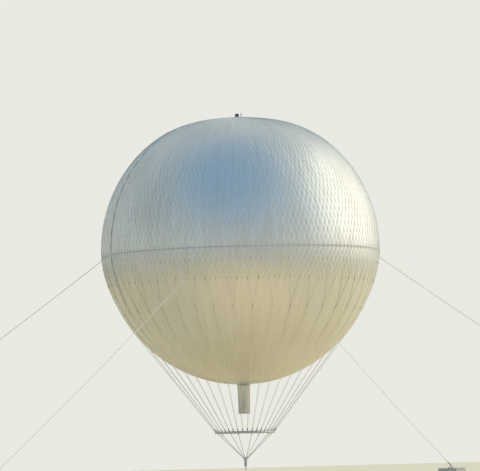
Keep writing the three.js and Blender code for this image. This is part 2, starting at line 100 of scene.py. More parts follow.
class Signal:
    """One output of a node, so that node maths reads as Python arithmetic."""

    def __init__(self, nodes, socket):
        self.nodes = nodes
        self.socket = socket

    def does(self, operation, *others):
        return self.nodes.maths(operation, self, *others)

    def waves(self, pitch):
        """Goes between -1 and 1, once in each pitch."""
        return (self * (2 * math.pi / pitch)).does("SINE")

    def __add__(self, other):
        return self.does("ADD", other)

    def __sub__(self, other):
        return self.does("SUBTRACT", other)

    def __rsub__(self, other):
        return self.nodes.maths("SUBTRACT", other, self)

    def __mul__(self, other):
        return self.does("MULTIPLY", other)

    def __truediv__(self, other):
        return self.does("DIVIDE", other)

    def __pow__(self, other):
        return self.does("POWER", other)

    def __lt__(self, other):
        return self.does("LESS_THAN", other)

    def __gt__(self, other):
        return self.does("GREATER_THAN", other)

    def __abs__(self):
        return self.does("ABSOLUTE")

    __radd__ = __add__
    __rmul__ = __mul__


class Nodes:
    """A set of linked nodes that is written one call at a time."""

    def __init__(self, tree):
        self.tree = tree

    def node(self, kind, sockets=None, out=0, **settings):
        """Adds a node, sets it, and fills its sockets with values or signals. Gives one of its outputs."""
        made = self.tree.nodes.new(kind)
        for name, value in settings.items():
            if name == "stops":
                self.set_stops(made.color_ramp, value)
            else:
                setattr(made, name, value)
        for name, value in (sockets or {}).items():
            if isinstance(value, Signal):
                self.tree.links.new(value.socket, made.inputs[name])
            else:
                made.inputs[name].default_value = value
        return Signal(self, made.outputs[out]) if made.outputs else None

    @staticmethod
    def set_stops(ramp, stops):
        while len(ramp.elements) < len(stops):
            ramp.elements.new(1.0)
        for element, (place, colour) in zip(ramp.elements, stops):
            element.position = place
            element.color = (*colour, 1)

    def maths(self, operation, *terms):
        return self.node("ShaderNodeMath", dict(enumerate(terms)), operation=operation)

    def eased(self, value, low, high):
        """0 at low, 1 at high and smooth between."""
        sockets = {"Value": value, "From Min": low, "From Max": high}
        return self.node("ShaderNodeMapRange", sockets, interpolation_type="SMOOTHSTEP")

    def mix(self, factor, first, second):
        """First colour where factor is 0, second where it is 1."""
        first, second = (c if isinstance(c, Signal) else (*c, 1) for c in (first, second))
        return self.node("ShaderNodeMix", {0: factor, 6: first, 7: second}, 2, data_type="RGBA")

    def vector(self, x, y, z):
        return self.node("ShaderNodeCombineXYZ", {0: x, 1: y, 2: z})

    def split(self, vector):
        made = self.node("ShaderNodeSeparateXYZ", {0: vector})
        return [Signal(self, made.socket.node.outputs[axis]) for axis in "XYZ"]


class Finish(Nodes):
    """The look of a material. Its place is the Object coordinates, in metres."""

    def __init__(self, name):
        self.material = bpy.data.materials.new(name)
        self.material.use_nodes = True
        self.material.node_tree.nodes.clear()
        super().__init__(self.material.node_tree)
        self.place = self.node("ShaderNodeTexCoord", out="Object")

    def noise(self, scale, detail=4.0, roughness=0.55, at=None):
        sockets = {"Vector": at or self.place, "Scale": scale, "Detail": detail, "Roughness": roughness}
        return self.node("ShaderNodeTexNoise", sockets)

    def cells(self, scale, out):
        sockets = {"Vector": self.place, "Scale": scale, "Randomness": 1.0}
        return self.node("ShaderNodeTexVoronoi", sockets, out, feature="F1")

    def bump(self, height, distance, under=None):
        """The height, from 0 to 1, stands out by a distance in metres, on top of another bump."""
        sockets = {"Height": height, "Strength": 1.0, "Distance": distance}
        if under is not None:
            sockets["Normal"] = under
        return self.node("ShaderNodeBump", sockets)

    def surface(self, base, roughness, normal, metallic=0.0, coat=0.0):
        sockets = {"Base Color": base, "Roughness": roughness, "Normal": normal}
        sockets |= {"Metallic": metallic, "Coat Weight": coat}
        shader = self.node("ShaderNodeBsdfPrincipled", sockets)
        self.node("ShaderNodeOutputMaterial", {"Surface": shader})
        return self.material


def floor_finish():
    paint = Finish("pale_floor")
    grain = paint.noise(0.05)
    tone = paint.mix(grain, (0.97, 0.82, 0.56), (0.99, 0.84, 0.60))
    return paint.surface(tone, 0.9, paint.bump(grain, 0.001))


def studio_dome():
    world = bpy.data.worlds.new("studio_dome")
    bpy.context.scene.world = world
    world.use_nodes = True
    world.node_tree.nodes.clear()
    dome = Nodes(world.node_tree)
    direction = dome.node("ShaderNodeTexCoord", out="Generated")
    stops = [
        (0.0, (0.80, 0.74, 0.60)),
        (0.5, (0.74, 0.78, 0.79)),
        (0.60, (0.52, 0.60, 0.63)),
        (0.80, (0.40, 0.50, 0.54)),
        (1.0, (0.44, 0.54, 0.57)),
    ]
    glow = dome.node("ShaderNodeValToRGB", {0: dome.split(direction)[2] * 0.5 + 0.5}, stops=stops)
    haze = (towards(CAMERA_AZIMUTH + 180, 25), 0.2, 0.9, (0.82, 0.82, 0.77))
    cool_patch = (towards(CAMERA_AZIMUTH - 2, 54), 0.60, 0.97, (0.02, 0.30, 0.68))
    for middle, far, near, colour in (haze, cool_patch):
        sockets = {0: direction, 1: middle}
        nearness = dome.node("ShaderNodeVectorMath", sockets, "Value", operation="DOT_PRODUCT")
        glow = dome.mix(dome.eased(nearness, far, near), glow, colour)
    light = dome.node("ShaderNodeBackground", {"Color": glow, "Strength": 1.0})
    dome.node("ShaderNodeOutputWorld", {"Surface": light})


def lamp(name, kind, strength, colour):
    light = bpy.data.lights.new(name, kind)
    light.energy = strength
    light.color = colour
    return placed(name, light)


floor = bpy.data.meshes.new("floor")
corners = [(x * FLOOR_REACH, y * FLOOR_REACH, FLOOR_HEIGHT) for x, y in ((-1, -1), (1, -1), (1, 1), (-1, 1))]
floor.from_pydata(corners, [], [(0, 1, 2, 3)])
floor.materials.append(floor_finish())
placed("floor", floor)
studio_dome()
warm_lamp = lamp("warm_light", "SUN", 2.05, (1.0, 0.91, 0.72))
warm_lamp.data.angle = math.radians(62)
warm_lamp.rotation_mode = "QUATERNION"
warm_lamp.rotation_quaternion = towards(CAMERA_AZIMUTH + 108, 22).to_track_quat("Z", "Y")
low_lamp = lamp("low_light", "AREA", 350, (1.0, 0.58, 0.26))  # it faces up and isn't seen itself
low_lamp.data.size = 18
low_lamp.location = compass(CAMERA_AZIMUTH + 6, 17, 0.02)
low_lamp.rotation_euler = (math.pi, 0, 0)
low_lamp.visible_camera = False
bpy.context.scene.view_settings.view_transform = "Standard"

# Envelope
# A gas-tight skin of silver-white coated fabric, sewn from narrow gores into an upper and a lower half.
# The gas swells it out through every mesh of the net, and between the lines that hold it below.
BELT_STANDS_OUT = 0.0065
BALL_RADIUS = belt_high.x - BELT_STANDS_OUT
SHOULDER_SWELL = 0.035
CROWN_FLATTENING = 0.055
CROWN_POWER = 12
LOWER_TAPER = 0.03
LOWER_TAPER_REACH = 0.3
CROWN_LATITUDE = 84.0
NECK_LATITUDE = -80.0
HALVES = {"front": -90.0, "back": 90.0}
FINENESS = {"front": 3, "back": 2}  # steps of the upper skin's grid in one row of the net
LOWER_FINENESS = 2
GRID_UP = 1.5  # rows of small meshes from BELT_FEET to the upper edge of the lower skin's grid
GRID_DOWN = 31
SEAM_AZIMUTH = -80.0
SEAM_MIDDLE = SEAM_AZIMUTH + 0.3
TAPES_END = 0.8  # degrees from a seam's middle
SWELL_FULL = 1.8

MESHES_ROUND = 160
MESH_WIDTH = 360 / MESHES_ROUND
NET_EDGE = 0.5915  # latitude of the lowest knots above the belt
ROW = 5 * NET_EDGE  # degrees of latitude between two rows of knots
NET_ROWS = 25
NET_TOP = NET_EDGE + NET_ROWS * ROW
LINES_ROUND = 40
LINE_SPACING = 360 / LINES_ROUND
BELT_FEET = -2.6
FEET = -12.75
LOW_ROWS = 4
LOW_ROW = (BELT_FEET - FEET) / LOW_ROWS
LINE_HEAD = -25.5
LOBES_FADE = -38.0
PLEATS_START = -62.0

PILLOW_HEIGHT = 0.007
LOW_PILLOW_HEIGHT = 0.011
PILLOW_ROUNDING = 0.6
LOBE_HEIGHT = 0.006
PLEAT_HEIGHT = 0.006
PLEATS_A_LINE = 3
GROOVE_DEPTH = 0.0025
GROOVE_WIDTH = 0.36
LOWER_INSET = 0.004
SKIN_THICKNESS = 0.003
GORE_MESHES = 4.0


def on_root(made):
    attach(made, "root")
    return made


class Making(Nodes):
    """A set of geometry nodes with named sizes. It is run on a mesh once and leaves a plain mesh."""

    def __init__(self, name, **sizes):
        super().__init__(bpy.data.node_groups.new(name, "GeometryNodeTree"))
        self.socket("Geometry", "Geometry", "OUTPUT")
        self.socket("Geometry", "Geometry")
        self.socket("finish", "Material")
        for label, value in sizes.items():
            self.socket(label, "Int" if isinstance(value, int) else "Float").default_value = value

    def socket(self, label, kind, way="INPUT"):
        return self.tree.interface.new_socket(label, in_out=way, socket_type=f"NodeSocket{kind}")

    def size(self, label):
        return self.node("NodeGroupInput", out=label)

    def moved_to(self, geometry, position):
        return self.node("GeometryNodeSetPosition", {"Geometry": geometry, "Position": position})

    def at_points(self, points, shape, **sockets):
        return self.node("GeometryNodeInstanceOnPoints", {"Points": points, "Instance": shape, **sockets})

    def ends_with(self, geometry):
        real = self.node("GeometryNodeRealizeInstances", {"Geometry": geometry})
        finished = self.node("GeometryNodeSetMaterial", {"Geometry": real, "Material": self.size("finish")})
        self.node("NodeGroupOutput", {"Geometry": finished})

    def makes(self, name, material, mesh=None, **sizes):
        made = placed(name, mesh or bpy.data.meshes.new(name))
        run = made.modifiers.new("making", "NODES")
        run.node_group = self.tree
        values = {"finish": material, **sizes}
        for item in self.tree.interface.items_tree:
            if item.in_out == "INPUT" and item.name in values:
                run[item.identifier] = values[item.name]
        graph = bpy.context.evaluated_depsgraph_get()
        mesh = bpy.data.meshes.new_from_object(made.evaluated_get(graph), depsgraph=graph)
        made.modifiers.clear()
        made.data = mesh
        return made


def onto_ball(making, azimuth, latitude, lift):
    """Position of a point on the ball, with the angles in degrees and the lift off its skin in metres."""
    turn = azimuth * math.radians(1)
    climb = latitude * math.radians(1)
    rise = climb.does("SINE")
    dip = rise.does("MINIMUM", 0.0) / LOWER_TAPER_REACH
    crown = CROWN_FLATTENING * rise.does("MAXIMUM", 0.0) ** CROWN_POWER
    taper = LOWER_TAPER * (1.0 - (0.0 - dip * dip).does("EXPONENT"))
    distance = BALL_RADIUS * (1.0 + SHOULDER_SWELL * rise - crown - taper) + lift
    level = distance * climb.does("COSINE")
    back = 0.0 - level * turn.does("COSINE")
    return making.vector(level * turn.does("SINE"), back, BELT_HEIGHT + distance * rise)


def skin_sheet(name, relief):
    """Nodes that lay a grid on the ball and lift it by relief(making, azimuth, latitude)."""
    making = Making(name, start=0.0, low=0.0, high=0.0, bottom=0.0, top=0.0, columns=100, rows=100)
    sockets = {0: 1.0, 1: 1.0, 2: making.size("columns"), 3: making.size("rows")}
    grid = making.node("GeometryNodeMeshGrid", sockets)
    x, y, _ = making.split(making.node("GeometryNodeInputPosition"))
    azimuth = making.size("start") + (x + 0.5) * 180.0
    latitude = making.size("low") + (y + 0.5) * (making.size("high") - making.size("low"))
    latitude = latitude.does("MAXIMUM", making.size("bottom")).does("MINIMUM", making.size("top"))
    sockets = {0: grid, "Name": "UVMap", "Value": making.vector(azimuth / MESH_WIDTH, latitude / ROW, 0.0)}
    kind = {"data_type": "FLOAT2", "domain": "CORNER"}
    mapped = making.node("GeometryNodeStoreNamedAttribute", sockets, **kind)
    lift = relief(making, azimuth, latitude)
    laid = making.moved_to(mapped, onto_ball(making, azimuth, latitude, lift))
    making.ends_with(making.node("GeometryNodeSetShadeSmooth", {"Geometry": laid}))
    return making


def crossing(across, up):
    """Height of the pillow in a mesh between two sets of ropes that cross, from 0 on the ropes to 1."""
    first = ((across + up) * math.pi).does("SINE")
    second = ((across - up) * math.pi).does("SINE")
    return abs(first * second) ** PILLOW_ROUNDING


def beside_seams(making, azimuth):
    """0 under the tapes of the closing seam and of the joins, and 1 away from them."""
    join = abs(azimuth.does("FLOORED_MODULO", 180.0) - 90.0)
    return making.eased(abs(azimuth - SEAM_MIDDLE).does("MINIMUM", join), TAPES_END, SWELL_FULL)


def mesh_relief(making, azimuth, latitude):
    """Pillows in the meshes of the net, smaller as the meshes narrow towards the crown."""
    pillow = crossing(azimuth / MESH_WIDTH + 0.5, (latitude - NET_EDGE) / (2 * ROW))
    narrowing = 0.35 + 0.65 * (latitude * math.radians(1)).does("COSINE")
    edges = making.eased(latitude, 0.0, 2.0) * making.eased(latitude, NET_TOP, NET_TOP - 3)
    return PILLOW_HEIGHT * pillow * narrowing * edges * beside_seams(making, azimuth)


def line_relief(making, azimuth, latitude):
    """Pillows in the meshes under the belt, shallow grooves under the legs of the crow's feet, and a broad
    swelling between the lines, gathered into pleats at the neck."""
    first_row = making.eased(latitude, 0.0, BELT_FEET) * 0.5
    more_rows = (BELT_FEET - latitude).does("MAXIMUM", 0.0) / (2 * LOW_ROW)
    pillow = crossing(azimuth / MESH_WIDTH + 0.5, first_row + more_rows)
    pillows = pillow * making.eased(latitude, 0.0, -1.6) * making.eased(latitude, FEET - 1.5, FEET + 0.5)
    spread = making.eased(latitude, LINE_HEAD, FEET) * MESH_WIDTH
    fold = abs((azimuth + LINE_SPACING / 2).does("FLOORED_MODULO", LINE_SPACING) - LINE_SPACING / 2)
    near = abs(fold - spread) / GROOVE_WIDTH
    groove = (0.0 - near * near).does("EXPONENT") * making.eased(latitude, FEET + 1, FEET - 1)
    lobe = abs((azimuth * (math.pi / LINE_SPACING)).does("SINE"))
    lobe *= making.eased(latitude, FEET + 0.75, LINE_HEAD - 1.5)
    lobe *= making.eased(latitude, PLEATS_START, LOBES_FADE)
    pleat = (azimuth * (math.radians(1) * PLEATS_A_LINE * LINES_ROUND)).does("COSINE")
    pleat *= making.eased(latitude, PLEATS_START, NECK_LATITUDE)
    swellings = (pillows * LOW_PILLOW_HEIGHT + lobe * LOBE_HEIGHT) * beside_seams(making, azimuth)
    return swellings - groove * GROOVE_DEPTH + pleat * PLEAT_HEIGHT - LOWER_INSET


def fabric_finish():
    """Pearly satin coating on fine cloth, with taped gore seams and dust that rain has drawn into streaks.
    Painted shade greys it a little under the small meshes, and a painted warm reflection of the ground tints
    it below them."""
    paint = Finish("silver_coated_fabric")
    u, v, _ = paint.split(paint.node("ShaderNodeUVMap", uv_map="UVMap"))
    gores = u / GORE_MESHES + 0.5 / GORE_MESHES
    shade = paint.node("ShaderNodeTexWhiteNoise", {"W": gores.does("FLOOR")}, noise_dimensions="1D")
    streaks = paint.noise(1.0, 5.0, 0.6, at=paint.vector(u * 1.4, v * 0.12, 0.0))
    clouds = paint.noise(0.35, 3.0, 0.5)
    dust = ((streaks * 0.6 + clouds * 0.4 - 0.43) * 2.2).does("MAXIMUM", 0.0)
    belt_grime = paint.eased(abs(v), 0.9, 0.0) * streaks * 0.2
    clean = paint.mix(shade, (0.70, 0.71, 0.69), (0.73, 0.74, 0.72))
    colour = paint.mix(dust + belt_grime, clean, (0.52, 0.49, 0.41))
    # Painted reflection: below the belt the skin is tinted warm beige, as if it reflected the sandy floor.
    painted_ground_reflection = paint.eased(v, -0.4, -4.0) * 0.45
    colour = paint.mix(painted_ground_reflection, colour, (0.76, 0.655, 0.40))
    # Painted shade: a band just under the belt is darkened where the small meshes shade the skin.
    painted_mesh_shade = paint.eased(v, 0.0, -0.8) * paint.eased(v, -5.0, -1.5) * 0.24
    colour = paint.mix(painted_mesh_shade, colour, (0.48, 0.48, 0.44))
    tape = paint.eased(abs(gores.does("FRACT") - 0.5), 0.487, 0.494)
    colour = paint.mix(tape * 0.12, colour, (0.5, 0.5, 0.47))
    grain = paint.noise(180.0, 2.0, 0.6)
    crinkle = paint.noise(1.6, at=paint.vector(u * 0.8, v * 0.7, 0.0))
    relief = paint.bump(crinkle, 0.010, paint.bump(tape, 0.0012, paint.bump(grain, 0.0004)))
    return paint.surface(colour, 0.40 + dust * 0.2 + grain * 0.06, relief, metallic=0.45, coat=0.05)


fabric = fabric_finish()
upper_skin = skin_sheet("upper_skin", mesh_relief)
lower_skin = skin_sheet("lower_skin", line_relief)
for half, start in HALVES.items():
    step = ROW / FINENESS[half]
    rows = math.ceil(CROWN_LATITUDE / step)
    sizes = {"low": NET_EDGE - step, "high": NET_EDGE + rows * step, "bottom": 0.0, "top": CROWN_LATITUDE}
    sizes |= {"columns": MESHES_ROUND * FINENESS[half] + 1, "rows": rows + 2}
    upper = upper_skin.makes(f"upper_envelope_{half}", fabric, start=start, **sizes)
    sizes = {"low": BELT_FEET - GRID_DOWN * LOW_ROW, "high": BELT_FEET + GRID_UP * LOW_ROW}
    sizes |= {"bottom": NECK_LATITUDE, "top": 0.0, "columns": MESHES_ROUND * LOWER_FINENESS + 1}
    sizes["rows"] = int((GRID_DOWN + GRID_UP) * LOWER_FINENESS) + 1
    lower = lower_skin.makes(f"lower_envelope_{half}", fabric, start=start, **sizes)
    for level, skin in (("upper", upper), ("lower", lower)):
        wall = skin.modifiers.new("cloth", "SOLIDIFY")
        wall.thickness = SKIN_THICKNESS
        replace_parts(skin, *[f"envelope_{level}_{half}_{side}" for side in ("left", "right")])
        on_root(skin)

# Closing seams
# The skin is closed with a pale flap down the left side, and a dark zip beside it that ends below the belt.
# Its front and back are joined under flat tapes. All of it is sewn and glued on, under the net.
SEAM_STEP = 2
SEAM_ROWS = int((CROWN_LATITUDE - NECK_LATITUDE) / SEAM_STEP) + 1
SEAM_LATITUDES = [CROWN_LATITUDE - i * SEAM_STEP for i in range(SEAM_ROWS)]
TAPE_UNDERSIDE = 0.001
TAPE_TOP = 0.0045
FLAP_WIDTH = 0.064
FLAP_OFFSET = 0.060
ZIP_WIDTH = 0.054
ZIP_TOP = 0.006
ZIP_END = -22.0
JOIN_WIDTH = 0.036


def skin_point(azimuth, latitude, lift=0.0):
    """The place that onto_ball gives, for a piece that isn't made with nodes."""
    rise = math.sin(math.radians(latitude))
    crown = CROWN_FLATTENING * max(rise, 0) ** CROWN_POWER
    taper = LOWER_TAPER * (1 - math.exp(-((min(rise, 0) / LOWER_TAPER_REACH) ** 2)))
    distance = BALL_RADIUS * (1 + SHOULDER_SWELL * rise - crown - taper) + lift
    return compass(azimuth, distance * math.cos(math.radians(latitude)), BELT_HEIGHT + distance * rise)


class Shape:
    """A mesh under construction, in metres."""

    def __init__(self):
        self.mesh = bmesh.new()

    def rows(self, rows, ring=False):
        """Joins closed rows of points with faces, and for a ring the last row to the first as well."""
        made = [[self.mesh.verts.new(point) for point in row] for row in rows]
        for low_row, high_row in zip(made, made[1:] + made[:1] if ring else made[1:]):
            for i in range(max(len(low_row), len(high_row))):
                corners = [low_row[i % len(low_row)], low_row[(i + 1) % len(low_row)]]
                corners += [high_row[(i + 1) % len(high_row)], high_row[i % len(high_row)]]
                self.mesh.faces.new(dict.fromkeys(corners))
        return made

    def capped(self, rows):
        made = self.rows(rows)
        self.mesh.faces.new(reversed(made[0]))
        self.mesh.faces.new(made[-1])
        return self

    def turned(self, profile, columns, ring=False, at=Matrix()):
        """Turns [radius, height] points, outwards, up and inwards again, about the local Z axis."""
        rows = []
        for radius, height in profile:
            turns = [i * 360 / columns for i in range(columns)] if radius else [0]
            rows.append([at @ compass(turn, radius, height) for turn in turns])
        self.rows(rows, ring)
        return self

    def hoop(self, radius, bar, sides, columns, at):
        """A ring of round bar about the local Z axis."""
        turns = [2 * math.pi * i / sides for i in range(sides)]
        section = [(radius + bar * math.cos(t), bar * math.sin(t)) for t in turns]
        return self.turned(section, columns, True, at)

    def band(self, inner, outer, low, high, columns, at=Matrix()):
        """A flat band about the local Z axis."""
        return self.turned([(inner, low), (outer, low), (outer, high), (inner, high)], columns, True, at)

    def tube(self, path, radius, sides):
        """A round bar along a path, with its ends closed."""
        rows = []
        across = (path[1] - path[0]).orthogonal().normalized()
        for i, point in enumerate(path):
            along = (path[min(i + 1, len(path) - 1)] - path[max(i - 1, 0)]).normalized()
            across = (across - along * across.dot(along)).normalized()
            other = along.cross(across)
            turns = [2 * math.pi * j / sides for j in range(sides)]
            rows.append([point + radius * (across * math.cos(t) + other * math.sin(t)) for t in turns])
        return self.capped(rows)

    def box(self, size, at=Matrix()):
        """A box of that length, width and height about the local origin."""
        x, y, z = (side / 2 for side in size)
        around = [(-x, -y), (x, -y), (x, y), (-x, y)]
        return self.capped([[at @ Vector((a, b, h)) for a, b in around] for h in (-z, z)])

    def plain_mesh(self, name, sharp=35):
        mesh = bpy.data.meshes.new(name)
        self.mesh.to_mesh(mesh)
        self.mesh.free()
        mesh.shade_smooth()
        mesh.set_sharp_from_angle(angle=math.radians(sharp))
        return mesh

    def piece(self, name, material, slot, sharp=35, bevel=0.0):
        made = placed(name, self.plain_mesh(name, sharp))
        made.data.materials.append(material)
        if bevel:
            edge = made.modifiers.new("worn_edges", "BEVEL")
            edge.width = bevel
            edge.segments = 2
            edge.angle_limit = math.radians(sharp)
        return on_root(made)


def tape_finish(name, tint, gloss):
    """Ribbed woven tape, soiled in patches."""
    paint = Finish(name)
    grain = paint.noise(220.0, 2.0)
    soil = paint.noise(3.0, 5.0, 0.6)
    colour = paint.mix(soil * 0.6, tint, tuple(0.62 * value for value in tint))
    return paint.surface(colour, gloss + grain * 0.1, paint.bump(grain, 0.0005), metallic=0.1)


def tape(shape, azimuth, width, top=TAPE_TOP, offset=0.0, end=NECK_LATITUDE):
    """Adds a tape of even width down a meridian, with its middle an offset to the right of it."""
    rows = []
    for latitude in [latitude for latitude in SEAM_LATITUDES if latitude >= end]:
        level = -skin_point(0, latitude).y
        left, right = (azimuth + math.degrees((offset + side * width / 2) / level) for side in (-1, 1))
        section = [(left, top), (right, top), (right, TAPE_UNDERSIDE), (left, TAPE_UNDERSIDE)]
        rows.append([skin_point(turn, latitude, lift) for turn, lift in section])
    return shape.capped(rows)


pale_tape = tape_finish("pale_seam_tape", (0.80, 0.80, 0.77), 0.4)
dark_zip = tape_finish("dark_zip_tape", (0.08, 0.08, 0.075), 0.7)
flap = tape(Shape(), SEAM_AZIMUTH, FLAP_WIDTH, offset=FLAP_OFFSET)
flap.piece("closing_flap", pale_tape, "silver_fabric")
zip_tape = tape(Shape(), SEAM_AZIMUTH, ZIP_WIDTH, ZIP_TOP, end=ZIP_END)
zip_tape.piece("closing_zip", dark_zip, "belt_webbing")
joins = Shape()
for azimuth in HALVES.values():
    tape(joins, azimuth, JOIN_WIDTH)
joins.piece("join_tapes", pale_tape, "silver_fabric")

# Belt
# Woven webbing sewn round the equator over the join of the two halves, with a cord in each edge. A short
# loop at every mesh takes the cords of the net above and of the crow's feet below.
BELT_HALF = (belt_high.z - belt_low.z) / 2
BELT_BACK = BALL_RADIUS + 0.0005
CORDED_EDGE = [(4, 0.76), (6, 0.83), (6, 0.93), (4, 1)]  # millimetres off the back, and share of BELT_HALF
LOOP_WIDTH = 0.016
LOOP_THICKNESS = 0.004
LOOP_HEIGHT = 0.050
LOOP_OVERLAP = 0.016
LOOP_OUT = 0.008
LOOP_BEND = 0.009
STITCH_ROW = 0.026  # from the middle of the belt, as the next two
STRIPE_EDGE = 0.010
LOOP_EDGE = 0.034
STITCH_HALF = 0.0013


def webbing_finish():
    """Close weave with a dark stripe between two rows of pale stitches, faded in stretches, and with dark
    lower loops."""
    paint = Finish("belt_webbing")
    x, y, z = paint.split(paint.place)
    along = x.does("ARCTAN2", 0.0 - y) * BALL_RADIUS
    weave = along.waves(0.008) * z.waves(0.006)
    row = abs(abs(z - BELT_HEIGHT) - STITCH_ROW) < STITCH_HALF
    stitch = row * (along.waves(0.016) > -0.3)
    faded = paint.noise(0.9, 5.0, 0.6)
    cloth = paint.mix(faded, (0.60, 0.60, 0.56), (0.70, 0.69, 0.65))
    stripe = abs(z - BELT_HEIGHT) < STRIPE_EDGE
    loop = BELT_HEIGHT - z > LOOP_EDGE
    dark = stripe * (0.9 - faded * 0.6) + loop * 0.6
    colour = paint.mix(dark, paint.mix(stitch, cloth, (0.76, 0.75, 0.69)), (0.24, 0.24, 0.22))
    return paint.surface(colour, 0.72 + faded * 0.12, paint.bump(weave * 0.5 + stitch, 0.0008))


def round_the_axis():
    making = Making("round_the_axis", count=8, first=0.0)
    index = making.node("GeometryNodeInputIndex")
    turn = (making.size("first") + index * 360.0 / making.size("count")) * math.radians(1)
    points = making.node("GeometryNodePoints", {"Count": making.size("count")})
    turned = making.vector(0.0, 0.0, turn)
    making.ends_with(making.at_points(points, making.size("Geometry"), Rotation=turned))
    return making


axis_making = round_the_axis()


def around_axis(name, shape, material, slot, count, first=0.0):
    """Repeats a shape, which is made at the front, at even steps round the vertical axis."""
    on_root(axis_making.makes(name, material, shape.plain_mesh(name), count=count, first=first))


webbing = webbing_finish()
low_edge = [(out, -up) for out, up in reversed(CORDED_EDGE)]
belt_profile = [(0, -1), *low_edge, *CORDED_EDGE, (0, 1)]
belt_profile = [(BELT_BACK + out / 1000, BELT_HEIGHT + up * BELT_HALF) for out, up in belt_profile]
belt = Shape().turned(belt_profile, 320, ring=True).piece("belt_band", webbing, "belt_webbing", sharp=60)
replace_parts(belt, "equator_belt")
loops = Shape()
for side in (-1, 1):
    height = BELT_HEIGHT + side * (BELT_HALF + LOOP_HEIGHT / 2 - LOOP_OVERLAP)
    middle = Vector((0, -BELT_BACK - LOOP_OUT, height))
    loops.box((LOOP_WIDTH, LOOP_THICKNESS, LOOP_HEIGHT), Matrix.Translation(middle))
    eye = middle + Vector((0, 0, side * LOOP_HEIGHT / 2))
    bends = [Vector((math.cos(t), 0, math.sin(t))) for t in (0, 1.3, 2.6, 3.9, 5.2)]
    loops.tube([eye + LOOP_BEND * bend for bend in bends], 0.003, 4)
around_axis("belt_loops", loops, webbing, "belt_webbing", MESHES_ROUND, MESH_WIDTH / 2)

# Net
# Thin cord in tall diamond meshes from the belt up to near the crown. Where two cords meet they lie side by
# side and are seized with twine. At the top forty gathered cords are lashed to a ring of alloy tube.
GATHERED = 77.2
GATHERED_AGAIN = 79.8
CROWN_LINE_END = 84.15
CROWN_LINE_SHIFT = 0.375  # share of a line's spacing from the quarter's edge to its first gathered cord
NET_LIFT = 0.0052
NET_CORD = 0.0028
NET_SEIZING = 0.0052
SEIZING_REACH = 0.16 * ROW
GATHERED_CORD = 0.004
CROWN_CORD = 0.0055
FOOT_KNOT = 0.0055
QUARTERS = {"front_right": 0.0, "back_right": 90.0, "back_left": 180.0, "front_left": 270.0}
QUARTER_MESHES = MESHES_ROUND // 4
QUARTER_LINES = LINES_ROUND // 4


def rope_finish(name, pale, worn, grain_size=0.002, clean=0.38):
    """Fuzzy fibre in two shades, grimy in patches. A higher clean leaves more of it pale."""
    paint = Finish(name)
    fibre = paint.noise(1.0 / grain_size, 3.0, 0.7)
    grime = paint.eased(paint.noise(0.9, 4.0, 0.6), clean, 0.66)
    colour = paint.mix(fibre * 0.4 + grime * 0.6, pale, worn)
    return paint.surface(colour, 0.78 + fibre * 0.15, paint.bump(fibre, grain_size * 0.4))


def flat_net(cords, knots=(), lift=0.003):
    """Cords and knots laid out flat, with azimuth as x, latitude as y and lift as z. A cord is a radius and
    its two ends. A knot is a radius and its place."""
    ends = [end for _, *cord in cords for end in cord]
    flat = bpy.data.meshes.new("flat_net")
    verts = [(*place, lift) for place in ends + [place for _, place in knots]]
    flat.from_pydata(verts, [(2 * i, 2 * i + 1) for i in range(len(cords))], [])
    thickness = [cord[0] for cord in cords for _ in range(2)] + [0.0] * len(knots)
    knot = [0.0] * len(ends) + [radius for radius, _ in knots]
    for label, values in (("thickness", thickness), ("knot", knot)):
        flat.attributes.new(label, "FLOAT", "POINT").data.foreach_set("value", values)
    return flat


def laid_on_ball(making, geometry):
    flat = making.node("GeometryNodeInputPosition")
    return making.moved_to(geometry, onto_ball(making, *making.split(flat)))


def cord_maker():
    """Cuts the flat cords into short lengths, wraps them on the ball and makes each a round cord."""
    making = Making("cords_on_the_ball", length=1.6, sides=4)
    cords = making.node("GeometryNodeMeshToCurve", {"Mesh": making.size("Geometry")})
    sockets = {"Curve": cords, "Length": making.size("length")}
    cut = making.node("GeometryNodeResampleCurve", sockets, mode="LENGTH")
    sockets = {"Resolution": making.size("sides"), "Radius": 1.0}
    section = making.node("GeometryNodeCurvePrimitiveCircle", sockets)
    thickness = making.node("GeometryNodeInputNamedAttribute", {"Name": "thickness"})
    sockets = {"Curve": laid_on_ball(making, cut), "Profile Curve": section, "Scale": thickness}
    making.ends_with(making.node("GeometryNodeCurveToMesh", {**sockets, "Fill Caps": True}))
    return making


def knot_maker():
    """Wraps the flat knots on the ball and makes each a small bead."""
    making = Making("knots_on_the_ball", roundness=1)
    laid = laid_on_ball(making, making.size("Geometry"))
    radius = making.node("GeometryNodeInputNamedAttribute", {"Name": "knot"})
    points = making.node("GeometryNodeMeshToPoints", {"Mesh": laid, "Selection": radius > 0.0})
    bead = making.node("GeometryNodeMeshIcoSphere", {"Radius": 1.0, "Subdivisions": making.size("roundness")})
    bead = making.node("GeometryNodeSetShadeSmooth", {"Geometry": bead})
    making.ends_with(making.at_points(points, bead, Scale=radius))
    return making


def joined(name, slot, *parts):
    with bpy.context.temp_override(active_object=parts[0], selected_editable_objects=list(parts)):
        bpy.ops.object.join()
    parts[0].name = name
    return on_root(parts[0])


def upright(radius, azimuth, first, last):
    """A cord along a meridian, between two latitudes."""
    return radius, (azimuth, first), (azimuth, last)


